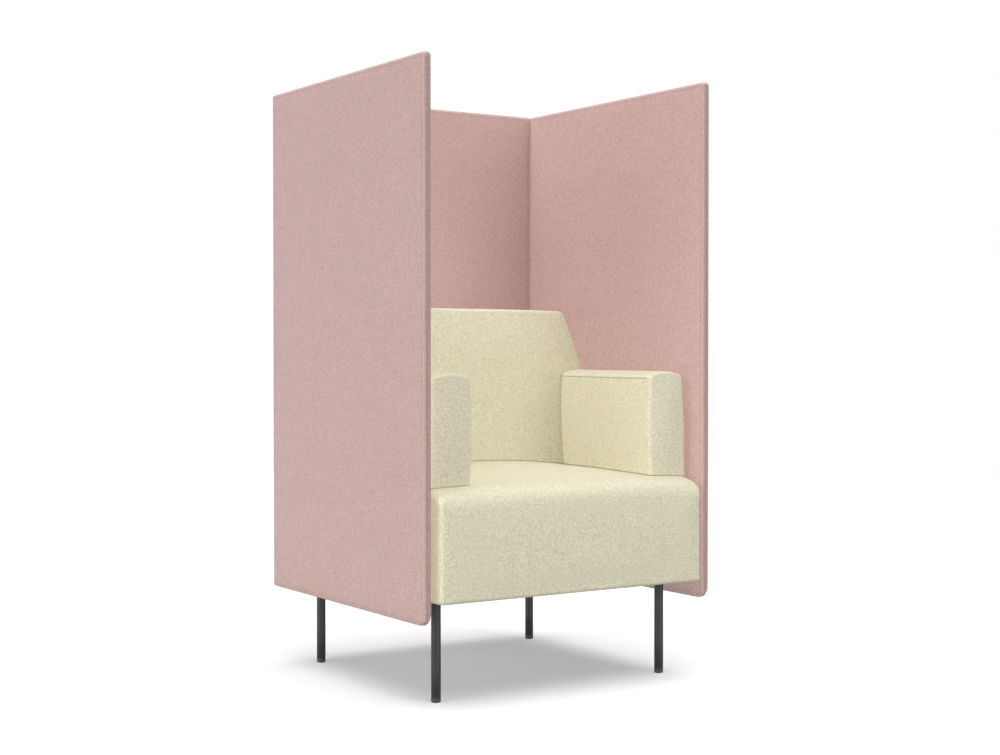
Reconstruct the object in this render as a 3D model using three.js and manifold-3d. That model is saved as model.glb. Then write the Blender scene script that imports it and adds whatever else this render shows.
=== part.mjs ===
// Acoustic high back lounge chair: a padded armchair on four slim steel legs, standing inside a
// three-sided screen of thin upholstered panels.
// Millimetres, +Z up, the sitter faces -Y, left and right are as seen from the front.
// The origin is on the floor, at the middle of the footprint.

import * as THREE from 'three';
import { mergeVertices } from 'three/addons/utils/BufferGeometryUtils.js';
import Module from 'manifold-3d';

const wasm = await Module();
wasm.setup();

// Overall sizes
const overallWidth = 723;
const overallDepth = 706;
const overallHeight = 1297;
const fit = 0.3;
const cushionFit = 0.8;
const overrun = 5;
const weldTolerance = 0.001;

// Screen panels
const panelThickness = 19;
const panelFloorClearance = 169.5;
const panelSetback = 14;
const panelEdgeRadius = 5;
const panelTopFrontRadius = 9;
const panelBottomFrontRadius = 25;
const panelRearRadius = 6;
const panelSkin = 3;
const panelSlotWidth = 8;
const panelSlotEnd = 60;

// Seat block
const seatGap = 12;
const seatUnderside = 210;
const seatTop = 440;
const seatRise = 7;
const seatFrontCrown = 6;
const seatRearCrown = 15;
const seatFrontRoll = 40;
const seatSideRoll = 40;
const seatSideRollPower = 12;
const seatRearRoll = 14;
const seatEdgeRadius = 9;
const seatFrontBulge = 2;
const seatFrontPadding = 20;
const seatSidePadding = 6;
const seatHem = 16;

// Upholstery cloth with its wadding
const clothThickness = 2.5;
const dustClothThickness = 1;

// Timber frame
const boardThickness = 22;
const railHeight = 105;
const webbingCount = 4;
const webbingGap = 58;
const webbingSideGap = 30;
const webbingThickness = 2.2;
const webbingEndMargin = 3;
const blockWidth = 60;
const blockLength = 95;
const blockHeight = 45;
const blockChamfer = 22;

// Arms
const armWidth = 99;
const armTopWidth = 91;
const armSideInset = 3.3;
const armSetback = 45.5;
const armTop = 661;
const armCrown = 7;
const armRoll = 10;
const armEdgeRadius = 9;
const armBaseRadius = 3;
const armInnerBulge = 7;
const armOuterBulge = 3;
const armFrontBulge = 7;
const armHem = 12;
const armBoardPadding = 15;
const armBoardRail = 50;
const armBoardOpeningRadius = 20;
const tongueWidth = 60;

// Back
const backSeatDepth = 384;
const backTop = 806;
const backTopWidth = 494;
const backBaseInset = 6;
const backTaperPower = 2.03;
const backFrontLean = 24;
const backRearLean = 45;
const backRoll = 9;
const backTopCrown = 2;
const backFrontBulge = 12;
const backEdgeRadius = 12;
const backBaseRadius = 3;
const backHem = 20;
const backFrontPadding = 38;
const backTopPadding = 22;
const backRearPadding = 8;
const lumbarBoardThickness = 9;
const lumbarBoardWidth = 400;
const lumbarBoardCorner = 40;
const lumbarBoardFootCorner = 10;
const gableTongueLength = 60;
const gableWall = 50;

// Legs and levelling glides
const legSideInset = 44.5;
const legFrontInset = 96;
const legRearInset = 65;
const legRadius = 10;
const legWall = 1.8;
const legPlateWidth = 54;
const legPlateLength = 80;
const legPlateThickness = 3;
const legPlateCorner = 8;
const legPlateHoleRadius = 2.5;
const legPlateHoleMargin = 9;
const glideHeight = 11;
const glideRound = 3;
const glideStemRadius = 4;
const glideStemLength = 25;
const insertLength = 22;
const insertClearance = 0.2;

// Fixings between the frame and the screen
const boltRadius = 4;
const boltHeadRadius = 7;
const boltHeadHeight = 5;
const boltBite = 10;
const boltHoleClearance = 0.3;
const spacerRadius = 12;
const fixingHeight = 78;
const rearFixingSpacing = 400;
const studRadius = 4;
const studSideDepth = 9;
const studBackDepth = 35;
const studHeightShares = [0.3, 0.8];

// Smoothness
const roundSides = 18;
const boltSides = 12;
const cornerSteps = 3;
const outlineSteps = 2;
const bevelSteps = 2;
const roundSteps = 2;
const leastRadiusShare = 0.1;

// Places that follow from the sizes above
const halfWidth = overallWidth / 2;
const halfDepth = overallDepth / 2;
const panelInner = halfWidth - panelThickness;
const backPanelFront = halfDepth - panelThickness;
const panelFront = -halfDepth + panelSetback;
const seatHalfWidth = panelInner - seatGap;
const seatFront = -halfDepth;
const seatRear = backPanelFront - seatGap;
const seatHeight = seatTop - seatUnderside;
const armFront = seatFront + armSetback;
const backFront = seatFront + backSeatDepth;
const backRear = seatRear;
const armRear = backFront - fit;
const armOuter = seatHalfWidth - armSideInset;
const armInner = armOuter - armWidth;
const padSide = clothThickness + fit + seatSidePadding + fit;
const frameHalfWidth = seatHalfWidth - padSide;
const frameFront = seatFront + clothThickness + fit + seatFrontPadding + fit;
const frameRear = seatRear - padSide;
const frameBottom = seatUnderside + clothThickness + fit;
const frameTop = frameBottom + railHeight;
const deckTop = frameTop + fit + webbingThickness;
const armBoardOuter = frameHalfWidth - boardThickness - fit;
const armBoardInner = armBoardOuter - boardThickness;
const webbingRoom = 2 * (armBoardInner - webbingSideGap) - (webbingCount - 1) * webbingGap;
const webbingWidth = webbingRoom / webbingCount;
const webbingPitch = webbingWidth + webbingGap;
const armBoardFront = armFront + clothThickness + fit + armBoardPadding;
const armBoardRear = armRear - armHem - fit;
const armBoardFoot = frameBottom + blockHeight + fit;
const armBoardTop = armTop - clothThickness - fit - armBoardPadding;
const seatCrest = seatTop + seatRise + seatRearCrown;
const armCoverFoot = seatTop + seatRise + cushionFit + clothThickness + fit;
const backCoverFoot = seatCrest + cushionFit + clothThickness + fit;
const lumbarFront = backFront + clothThickness + fit + backFrontPadding;
const gableFront = lumbarFront + lumbarBoardThickness + fit;
const gableRear = backRear - clothThickness - fit - backRearPadding;
const gableTop = backTop - clothThickness - fit - backTopPadding;
const tongueRear = frameRear - boardThickness - fit;
const tongueFront = tongueRear - gableTongueLength;
const legPlateTop = frameBottom - fit - dustClothThickness - fit;
const legTop = legPlateTop - legPlateThickness;
const legX = seatHalfWidth - legSideInset;
const legFrontY = seatFront + legFrontInset;
const legRearY = seatRear - legRearInset;
const fixingZ = frameBottom + fixingHeight;
const fixingYs = [armBoardFront + tongueWidth / 2, armBoardRear - tongueWidth / 2];
const fixingXs = [-rearFixingSpacing / 2, rearFixingSpacing / 2];
const sideBoardInner = panelInner + panelSkin + fit;
const backBoardFront = backPanelFront + panelSkin + fit;
const panelHeight = overallHeight - panelFloorClearance;
const studZs = studHeightShares.map((share) => panelFloorClearance + panelHeight * share);
const studY = halfDepth - panelThickness / 2;

// Colours as the photograph shows them
const creamCloth = new THREE.MeshStandardMaterial({ color: 0xd9d2b4, roughness: 0.92, metalness: 0 });
const pinkCloth = new THREE.MeshStandardMaterial({ color: 0xc9a9a3, roughness: 0.92, metalness: 0 });
const blackSteel = new THREE.MeshStandardMaterial({ color: 0x242424, roughness: 0.4, metalness: 0.5 });
const blackPlastic = new THREE.MeshStandardMaterial({ color: 0x1b1b1b, roughness: 0.5, metalness: 0 });
const zincSteel = new THREE.MeshStandardMaterial({ color: 0xb4b6b8, roughness: 0.35, metalness: 0.9 });
const foam = new THREE.MeshStandardMaterial({ color: 0xe7e2c8, roughness: 0.98, metalness: 0 });
const plywood = new THREE.MeshStandardMaterial({ color: 0xc9a878, roughness: 0.8, metalness: 0 });
const webbing = new THREE.MeshStandardMaterial({ color: 0x3b3a38, roughness: 0.9, metalness: 0 });
const dustCloth = new THREE.MeshStandardMaterial({ color: 0x202020, roughness: 0.95, metalness: 0 });

const chair = new THREE.Group();

// Geometry helpers

function welded(geometry) {
  geometry.deleteAttribute('normal');
  geometry.deleteAttribute('uv');
  return mergeVertices(geometry, weldTolerance);
}

function solidOf(geometry) {
  const merged = welded(geometry);
  const mesh = new wasm.Mesh({
    numProp: 3,
    vertProperties: new Float32Array(merged.attributes.position.array),
    triVerts: new Uint32Array(merged.index.array),
  });
  return new wasm.Manifold(mesh);
}

function geometryOf(solid) {
  const mesh = solid.getMesh();
  const geometry = new THREE.BufferGeometry();
  geometry.setAttribute('position', new THREE.BufferAttribute(mesh.vertProperties, mesh.numProp));
  geometry.setIndex(new THREE.BufferAttribute(mesh.triVerts, 1));
  geometry.computeVertexNormals();
  return geometry;
}

function addPiece(name, geometry, material, group = chair) {
  const mesh = new THREE.Mesh(geometry, material);
  mesh.name = name;
  group.add(mesh);
  return mesh;
}

function cut(solid, tools) {
  return tools.reduce((left, tool) => left.subtract(tool), solid);
}

// A copy on the other side of the chair, with its faces still pointing out
function mirrored(geometry) {
  const copy = welded(geometry.clone());
  copy.scale(-1, 1, 1);
  const index = copy.index.array;
  for (let corner = 0; corner < index.length; corner += 3) {
    [index[corner], index[corner + 1]] = [index[corner + 1], index[corner]];
  }
  copy.computeVertexNormals();
  return copy;
}

function box(low, high) {
  const size = high.map((value, axis) => value - low[axis]);
  const geometry = new THREE.BoxGeometry(...size);
  geometry.translate(...low.map((value, axis) => value + size[axis] / 2));
  return geometry;
}

// A rectangle in a plane with a radius for each corner, anticlockwise from low x, low y
function roundedRectangle(low, high, radii) {
  const [lowLow, highLow, highHigh, lowHigh] = radii;
  const shape = new THREE.Shape();
  shape.absarc(low[0] + lowLow, low[1] + lowLow, lowLow, Math.PI, 1.5 * Math.PI);
  shape.absarc(high[0] - highLow, low[1] + highLow, highLow, -Math.PI / 2, 0);
  shape.absarc(high[0] - highHigh, high[1] - highHigh, highHigh, 0, Math.PI / 2);
  shape.absarc(low[0] + lowHigh, high[1] - lowHigh, lowHigh, Math.PI / 2, Math.PI);
  shape.closePath();
  return shape;
}

function sameCorners(radius) {
  return [radius, radius, radius, radius];
}

function roundHole(x, y, radius) {
  const hole = new THREE.Path();
  hole.absarc(x, y, radius, 0, 2 * Math.PI, true);
  return hole;
}

// Plates are drawn in a plane and then laid into the chair: across it, or along its sides
const axisX = new THREE.Vector3(1, 0, 0);
const axisY = new THREE.Vector3(0, 1, 0);
const axisZ = new THREE.Vector3(0, 0, 1);
const layAlongSide = new THREE.Matrix4().makeBasis(axisY, axisZ, axisX);
const layAcross = new THREE.Matrix4().makeBasis(axisX, axisZ, axisY.clone().negate());

function plate(shape, thickness, edgeRadius = 0) {
  const geometry = new THREE.ExtrudeGeometry(shape, {
    depth: thickness - 2 * edgeRadius,
    curveSegments: outlineSteps,
    bevelEnabled: edgeRadius > 0,
    bevelThickness: edgeRadius,
    bevelSize: edgeRadius,
    bevelOffset: -edgeRadius,
    bevelSegments: bevelSteps,
  });
  geometry.translate(0, 0, edgeRadius);
  return geometry;
}

// A round bar between two places on a line along `direction` that passes through `point`
function rod(point, direction, start, end, radius, sides = boltSides) {
  const geometry = new THREE.CylinderGeometry(radius, radius, end - start, sides);
  geometry.translate(0, (start + end) / 2, 0);
  geometry.applyQuaternion(new THREE.Quaternion().setFromUnitVectors(axisY, direction));
  geometry.translate(point.x, point.y, point.z);
  return geometry;
}

function turned(profile, sides = roundSides) {
  const points = profile.map(([radius, height]) => new THREE.Vector2(radius, height));
  const geometry = new THREE.LatheGeometry(points, sides);
  geometry.rotateX(Math.PI / 2);
  return geometry;
}

// Padded blocks: a stack of rings, each the plan outline drawn in by an inset, closed by a crown.
// Stations go round the outline from the front right corner, so all rings share their order.

function ringStations(stepsX, stepsY) {
  const signs = [[1, -1], [1, 1], [-1, 1], [-1, -1]];
  const stations = [];
  const corners = signs.map(([signX, signY], index) => {
    const start = stations.length;
    const turn = (index - 1) * Math.PI / 2;
    for (let step = 0; step <= cornerSteps; step += 1) {
      stations.push({ signX, signY, angle: turn + (Math.PI / 2) * (step / cornerSteps) });
    }
    const end = stations.length - 1;
    const [nextX, nextY] = signs[(index + 1) % signs.length];
    const steps = index % 2 === 0 ? stepsY : stepsX;
    for (let step = 1; step < steps; step += 1) {
      const share = step / steps;
      stations.push({
        signX: signX + (nextX - signX) * share,
        signY: signY + (nextY - signY) * share,
        angle: turn + Math.PI / 2,
      });
    }
    return { start, end };
  });
  return { stations, corners };
}

// `depth` is how far this skin lies inside the block's outer face
function blockRings(block, depth, detail) {
  const { stations, corners } = ringStations(block.stepsX, block.stepsY);
  const halfX = block.halfX - depth;
  const halfY = block.halfY - depth;
  const low = depth;
  const high = block.height - depth;
  const baseRadius = Math.max(block.baseRadius - depth, block.baseRadius * leastRadiusShare);
  const place = (station, inset, z) => {
    const corner = Math.max(block.edgeRadius - depth - inset, block.edgeRadius * leastRadiusShare);
    const x = station.signX * (halfX - inset - corner) + corner * Math.cos(station.angle);
    const y = station.signY * (halfY - inset - corner) + corner * Math.sin(station.angle);
    return { x, y, z };
  };
  const rollOf = (station) => {
    const { x, y } = place(station, 0, low);
    return block.rollAt(x / halfX, y / halfY) - depth;
  };
  const rings = [];
  for (let step = 0; step <= detail.base; step += 1) {
    const angle = (Math.PI / 2) * (detail.base ? step / detail.base : 1);
    const inset = detail.base ? baseRadius * (1 - Math.sin(angle)) : 0;
    const rise = detail.base ? baseRadius * (1 - Math.cos(angle)) : 0;
    rings.push(stations.map((station) => place(station, inset, low + rise)));
  }
  const wallFoot = low + (detail.base ? baseRadius : 0);
  for (let step = 1; step <= detail.wall; step += 1) {
    const share = step / (detail.wall + 1);
    rings.push(stations.map((station) => {
      const wallHead = high - rollOf(station);
      return place(station, 0, wallFoot + (wallHead - wallFoot) * share);
    }));
  }
  for (let step = 0; step <= detail.roll; step += 1) {
    const angle = (Math.PI / 2) * (step / detail.roll);
    rings.push(stations.map((station) => {
      const roll = rollOf(station);
      return place(station, roll * (1 - Math.cos(angle)), high - roll * (1 - Math.sin(angle)));
    }));
  }
  const reach = Math.min(halfX, halfY);
  for (const share of detail.capShares) {
    rings.push(stations.map((station) => {
      const strip = Math.max(rollOf(station) + fit, block.capStrip);
      return place(station, strip + (reach - strip) * share, high);
    }));
  }
  return { rings, corners, high };
}

// The underside is closed by rungs between its two long sides, so that it follows what it stands on
function undersideTriangles(row, corners, isWide) {
  const [frontRight, rearRight, rearLeft, frontLeft] = corners;
  const sideEnds = [[frontRight.start, rearRight.end], [rearLeft.start, frontLeft.end]];
  const frontAndRear = [[frontLeft.start, frontRight.end], [rearRight.start, rearLeft.end]];
  const ends = isWide ? sideEnds : frontAndRear;
  const [[firstStart, firstEnd], [secondStart]] = ends;
  const at = (index) => row[(index + row.length) % row.length];
  const triangles = [];
  for (let step = 0; step < secondStart - firstEnd; step += 1) {
    const [near, nextNear] = [at(firstEnd + step), at(firstEnd + step + 1)];
    const [far, nextFar] = [at(firstStart - step), at(firstStart - step - 1)];
    triangles.push(near, far, nextFar, near, nextFar, nextNear);
  }
  for (const [start, end] of ends) {
    const reach = (end - start + row.length) % row.length;
    for (let step = 1; step < reach; step += 1) {
      triangles.push(at(start), at(start + step + 1), at(start + step));
    }
  }
  return triangles;
}

function paddedBlock(block, depth, detail) {
  const { rings, corners, high } = blockRings(block, depth, detail);
  const positions = [];
  const push = (point) => {
    positions.push(...block.form(point.x, point.y, point.z));
    return positions.length / 3 - 1;
  };
  const rows = rings.map((ring) => ring.map(push));
  const count = rows[0].length;
  const crown = push({ x: 0, y: 0, z: high });
  const triangles = undersideTriangles(rows[0], corners, block.halfX > block.halfY);
  for (let station = 0; station < count; station += 1) {
    const next = (station + 1) % count;
    const leftHalf = rings[0][station].x + rings[0][next].x < 0;
    for (let row = 0; row + 1 < rows.length; row += 1) {
      const [first, second] = [rows[row][station], rows[row][next]];
      const [third, fourth] = [rows[row + 1][next], rows[row + 1][station]];
      if (leftHalf) {
        triangles.push(first, second, fourth, second, third, fourth);
      } else {
        triangles.push(first, second, third, first, third, fourth);
      }
    }
    const last = rows[rows.length - 1];
    triangles.push(crown, last[station], last[next]);
  }
  const geometry = new THREE.BufferGeometry();
  geometry.setAttribute('position', new THREE.Float32BufferAttribute(positions, 3));
  geometry.setIndex(triangles);
  return geometry;
}

// A cloth cover is the block's skin, open below inside its hem
function clothCover(block, hem) {
  const outer = solidOf(paddedBlock(block, 0, block.outerDetail));
  const hollow = solidOf(paddedBlock(block, clothThickness, block.innerDetail));
  return cut(outer, [hollow, hem]);
}

function foamCore(block) {
  return solidOf(paddedBlock(block, clothThickness + fit, block.innerDetail));
}

// 1 in the middle of a face and 0 at its edges, for crowns and bulges
function dome(share) {
  return Math.max(0, 1 - share * share);
}

// Height of the seat's upper face: it rises from the front to the back and is crowned between the arms
function seatSurface(x, y) {
  const share = Math.min(1, (y - armFront) / (backFront - armFront));
  const towardsBack = 1 - (1 - share) ** 2;
  const crown = seatFrontCrown + (seatRearCrown - seatFrontCrown) * Math.max(0, towardsBack);
  return seatTop + seatRise * towardsBack + crown * (1 - (x / armInner) ** 2);
}

const seatBlock = {
  halfX: seatHalfWidth,
  halfY: (seatRear - seatFront - seatFrontBulge) / 2,
  height: seatHeight,
  edgeRadius: seatEdgeRadius,
  baseRadius: seatEdgeRadius,
  capStrip: seatHalfWidth - armInner,
  stepsX: 6,
  stepsY: 6,
  outerDetail: { base: 2, wall: 2, roll: 4, capShares: [0, 0.35, 0.7] },
  innerDetail: { base: 1, wall: 1, roll: 3, capShares: [0, 0.5] },
  rollAt(shareX, shareY) {
    const front = Math.max(0, -shareY);
    const side = seatRearRoll + (seatSideRoll - seatRearRoll) * front ** seatSideRollPower;
    const end = shareY < 0 ? seatFrontRoll : seatRearRoll;
    return Math.abs(shareX) < Math.abs(shareY) ? end : side;
  },
  form(x, y, z) {
    const share = z / seatHeight;
    const bulge = seatFrontBulge * dome(x / seatHalfWidth) * dome(2 * share - 1);
    const towardsFront = Math.max(0, -y / this.halfY);
    const placedY = seatFront + seatFrontBulge + this.halfY + y - bulge * towardsFront;
    const lift = seatSurface(x, placedY) - seatTop;
    return [x, placedY, seatUnderside + z + lift * share];
  },
};

const armBlock = {
  halfX: armWidth / 2,
  halfY: (armRear - armFront - armFrontBulge) / 2,
  height: armTop - seatTop - cushionFit,
  edgeRadius: armEdgeRadius,
  baseRadius: armBaseRadius,
  capStrip: armRoll,
  stepsX: 3,
  stepsY: 6,
  outerDetail: { base: 2, wall: 3, roll: 3, capShares: [0.35, 0.7] },
  innerDetail: { base: 1, wall: 1, roll: 2, capShares: [0.5] },
  rollAt() {
    return armRoll;
  },
  form(x, y, z) {
    const share = z / this.height;
    const along = y / this.halfY;
    const across = (x + this.halfX) / armWidth;
    const taper = (armWidth - armTopWidth) * across * share;
    const bulge = (armOuterBulge * across - armInnerBulge * (1 - across)) * dome(2 * share - 1);
    const placedX = armInner + this.halfX + x - taper + bulge;
    const swell = armFrontBulge * dome(x / this.halfX) * Math.max(0, -along) * dome(2 * share - 1);
    const leanShare = share * (armTop - seatTop - seatRise) / (backTop - seatTop - seatRise);
    const lean = backFrontLean * leanShare ** 2 * Math.max(0, along);
    const placedY = armFront + armFrontBulge + this.halfY + y - swell + lean;
    const foot = seatSurface(placedX, placedY) + cushionFit;
    const crown = armCrown * dome(x / this.halfX) * share;
    return [placedX, placedY, foot + (armTop - foot) * share + crown];
  },
};

const backBlock = {
  halfX: seatHalfWidth - backBaseInset,
  halfY: (backRear - backFront) / 2,
  height: backTop - seatTop - seatRise - cushionFit,
  edgeRadius: backEdgeRadius,
  baseRadius: backBaseRadius,
  capStrip: backRoll,
  stepsX: 8,
  stepsY: 3,
  outerDetail: { base: 2, wall: 4, roll: 3, capShares: [0.35, 0.7] },
  innerDetail: { base: 1, wall: 3, roll: 2, capShares: [0.5] },
  rollAt() {
    return backRoll;
  },
  halfWidthAt(share) {
    const shrink = (this.halfX - backTopWidth / 2) * Math.max(0, share) ** backTaperPower;
    return this.halfX - shrink;
  },
  form(x, y, z) {
    const share = z / this.height;
    const placedX = x * this.halfWidthAt(share) / this.halfX;
    const behind = (y + this.halfY) / (2 * this.halfY);
    const bulge = backFrontBulge * dome(x / armInner) * dome(2 * share - 1);
    const frontShift = backFrontLean * share ** 2 - bulge;
    const placedY = backFront + y + this.halfY - backRearLean * share * behind + frontShift * (1 - behind);
    const foot = seatSurface(placedX, backFront) + cushionFit;
    const crown = backTopCrown * dome(x / this.halfX) * dome(y / this.halfY) * share;
    return [placedX, placedY, foot + (backTop - foot) * share + crown];
  },
};

// Where the sloping rear of the back's frame lies at a height
function gableRearAt(z) {
  const share = (z - seatTop - seatRise) / (backTop - seatTop - seatRise);
  return gableRear - backRearLean * share;
}

// Slots and holes that the fixings and tongues need, each a little wider than what goes through

function sideHole(radius, start, end, y, z) {
  return solidOf(rod(new THREE.Vector3(0, y, z), axisX, start, end, radius + boltHoleClearance));
}

function rearHole(radius, start, end, x, z) {
  return solidOf(rod(new THREE.Vector3(x, 0, z), axisY, start, end, radius + boltHoleClearance));
}

function slot(low, high) {
  const grown = [low.map((value) => value - fit), high.map((value) => value + fit)];
  return solidOf(box(...grown));
}

function armTongueSlots() {
  const bottom = seatUnderside;
  const top = seatCrest + overrun;
  const fronts = [armBoardFront, armBoardRear - tongueWidth];
  return fronts.flatMap((front) => [
    slot([armBoardInner, front, bottom], [armBoardOuter, front + tongueWidth, top]),
    slot([-armBoardOuter, front, bottom], [-armBoardInner, front + tongueWidth, top]),
  ]);
}

function gableTongueSlots() {
  const top = seatCrest + overrun;
  return [-webbingPitch, webbingPitch].map((x) => {
    const low = [x - boardThickness / 2, tongueFront, frameTop];
    return slot(low, [x + boardThickness / 2, tongueRear, top]);
  });
}

function spacerHoles() {
  const sides = fixingYs.map((y) => sideHole(spacerRadius, -halfWidth, halfWidth, y, fixingZ));
  const rears = fixingXs.map((x) => rearHole(spacerRadius, 0, halfDepth, x, fixingZ));
  return [...sides, ...rears];
}

// The seat block

function addSeatUpholstery() {
  const hemLow = [-seatHalfWidth + seatHem, seatFront + seatHem, seatUnderside - overrun];
  const hemHigh = [seatHalfWidth - seatHem, seatRear - seatHem, seatUnderside + 2 * clothThickness];
  const openings = [...armTongueSlots(), ...gableTongueSlots(), ...spacerHoles()];
  const cover = cut(clothCover(seatBlock, solidOf(box(hemLow, hemHigh))), openings);
  addPiece('seat_cover', geometryOf(cover), creamCloth);
  const frameLow = [-frameHalfWidth, frameFront, seatUnderside - overrun];
  const frameRoom = slot(frameLow, [frameHalfWidth, frameRear, deckTop]);
  addPiece('seat_foam', geometryOf(cut(foamCore(seatBlock), [frameRoom, ...openings])), foam);
}

function addSeatFrame() {
  const frontHigh = [frameHalfWidth, frameFront + boardThickness, frameTop];
  addPiece('seat_rail_front', box([-frameHalfWidth, frameFront, frameBottom], frontHigh), plywood);
  const rearLow = [-frameHalfWidth, frameRear - boardThickness, frameBottom];
  const rear = box(rearLow, [frameHalfWidth, frameRear, frameTop]);
  const rearHoles = fixingXs.map((x) => rearHole(boltRadius, 0, halfDepth, x, fixingZ));
  addPiece('seat_rail_rear', geometryOf(cut(solidOf(rear), rearHoles)), plywood);
  const low = [frameHalfWidth - boardThickness, frameFront + boardThickness + fit, frameBottom];
  const side = box(low, [frameHalfWidth, frameRear - boardThickness - fit, frameTop]);
  const sideHoles = fixingYs.map((y) => sideHole(boltRadius, 0, halfWidth, y, fixingZ));
  const rail = geometryOf(cut(solidOf(side), sideHoles));
  addPiece('seat_rail_right', rail, plywood);
  addPiece('seat_rail_left', mirrored(rail), plywood);
}

// A block glued into each corner of the frame, where the legs are screwed up
function addCornerBlocks() {
  const outline = new THREE.Shape();
  outline.moveTo(0, 0);
  outline.lineTo(-blockWidth, 0);
  outline.lineTo(-blockWidth, blockLength - blockChamfer);
  outline.lineTo(-blockWidth + blockChamfer, blockLength);
  outline.lineTo(0, blockLength);
  const front = plate(outline, blockHeight);
  const cornerX = frameHalfWidth - boardThickness - fit;
  front.translate(cornerX, frameFront + boardThickness + fit, frameBottom);
  const rear = plate(outline, blockHeight);
  rear.rotateZ(Math.PI);
  rear.translate(-cornerX, frameRear - boardThickness - fit, frameBottom);
  addPiece('corner_block_front_right', front, plywood);
  addPiece('corner_block_front_left', mirrored(front), plywood);
  addPiece('corner_block_rear_left', rear, plywood);
  addPiece('corner_block_rear_right', mirrored(rear), plywood);
}

function addWebbing() {
  for (let strap = 0; strap < webbingCount; strap += 1) {
    const x = (strap - (webbingCount - 1) / 2) * webbingPitch;
    const low = [x - webbingWidth / 2, frameFront + webbingEndMargin, frameTop + fit];
    const band = box(low, [x + webbingWidth / 2, frameRear - webbingEndMargin, deckTop]);
    addPiece(`seat_webbing_${strap + 1}`, band, webbing);
  }
}

function addDustCloth() {
  const edge = seatHem + fit;
  const top = frameBottom - fit;
  const low = [-seatHalfWidth + edge, seatFront + edge, top - dustClothThickness];
  addPiece('base_cloth', box(low, [seatHalfWidth - edge, seatRear - edge, top]), dustCloth);
}

// The arms

// One board carries each arm: its two tongues go down through the seat and are bolted to the side rail
function armBoard() {
  const shape = new THREE.Shape();
  shape.moveTo(armBoardFront, armBoardTop);
  shape.lineTo(armBoardFront, armBoardFoot);
  shape.lineTo(armBoardFront + tongueWidth, armBoardFoot);
  shape.lineTo(armBoardFront + tongueWidth, armCoverFoot);
  shape.lineTo(armBoardRear - tongueWidth, armCoverFoot);
  shape.lineTo(armBoardRear - tongueWidth, armBoardFoot);
  shape.lineTo(armBoardRear, armBoardFoot);
  shape.lineTo(armBoardRear, armBoardTop);
  const low = [armBoardFront + armBoardRail, armCoverFoot + armBoardRail];
  const high = [armBoardRear - armBoardRail, armBoardTop - armBoardRail];
  shape.holes.push(roundedRectangle(low, high, sameCorners(armBoardOpeningRadius)));
  const geometry = plate(shape, boardThickness);
  geometry.applyMatrix4(layAlongSide);
  geometry.translate(armBoardInner, 0, 0);
  const holes = fixingYs.map((y) => sideHole(boltRadius, 0, halfWidth, y, fixingZ));
  return geometryOf(cut(solidOf(geometry), holes));
}

function addArms() {
  const top = seatTop + seatRise + 2 * clothThickness;
  const hemLow = [armInner + armHem, armFront + armHem, seatUnderside];
  const hem = solidOf(box(hemLow, [armOuter - armHem, armRear - armHem, top]));
  const roomHigh = [armBoardOuter, armBoardRear, armBoardTop];
  const room = slot([armBoardInner, armBoardFront, seatUnderside], roomHigh);
  const pieces = {
    cover: [geometryOf(clothCover(armBlock, hem)), creamCloth],
    foam: [geometryOf(cut(foamCore(armBlock), [room])), foam],
    board: [armBoard(), plywood],
  };
  for (const [part, [geometry, material]] of Object.entries(pieces)) {
    addPiece(`arm_${part}_right`, geometry, material);
    addPiece(`arm_${part}_left`, mirrored(geometry), material);
  }
}

// The back

function gable() {
  const shape = new THREE.Shape();
  shape.moveTo(gableFront, backCoverFoot);
  shape.lineTo(tongueFront, backCoverFoot);
  shape.lineTo(tongueFront, armBoardFoot);
  shape.lineTo(tongueRear, armBoardFoot);
  shape.lineTo(tongueRear, backCoverFoot);
  shape.lineTo(gableRearAt(backCoverFoot), backCoverFoot);
  shape.lineTo(gableRearAt(gableTop), gableTop);
  shape.lineTo(gableFront, gableTop);
  const opening = new THREE.Path();
  const low = backCoverFoot + gableWall;
  const high = gableTop - gableWall;
  opening.moveTo(gableFront + gableWall, low);
  opening.lineTo(gableFront + gableWall, high);
  opening.lineTo(gableRearAt(high) - gableWall, high);
  opening.lineTo(gableRearAt(low) - gableWall, low);
  shape.holes.push(opening);
  const geometry = plate(shape, boardThickness);
  geometry.translate(0, 0, -boardThickness / 2);
  geometry.applyMatrix4(layAlongSide);
  return geometry;
}

function lumbarBoard() {
  const low = [-lumbarBoardWidth / 2, backCoverFoot];
  const radii = [lumbarBoardFootCorner, lumbarBoardFootCorner, lumbarBoardCorner, lumbarBoardCorner];
  const shape = roundedRectangle(low, [lumbarBoardWidth / 2, gableTop], radii);
  const geometry = plate(shape, lumbarBoardThickness);
  geometry.applyMatrix4(layAcross);
  geometry.translate(0, lumbarFront + lumbarBoardThickness, 0);
  return geometry;
}

// The hollow in the back's foam that takes the two gables and the board in front of them
function backFrameRoom() {
  const below = seatUnderside;
  const shape = new THREE.Shape();
  shape.moveTo(lumbarFront - fit, below);
  shape.lineTo(gableRearAt(below) + fit, below);
  shape.lineTo(gableRearAt(gableTop) + fit, gableTop + fit);
  shape.lineTo(lumbarFront - fit, gableTop + fit);
  const geometry = plate(shape, lumbarBoardWidth + 2 * fit);
  geometry.applyMatrix4(layAlongSide);
  geometry.translate(-lumbarBoardWidth / 2 - fit, 0, 0);
  return solidOf(geometry);
}

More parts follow.
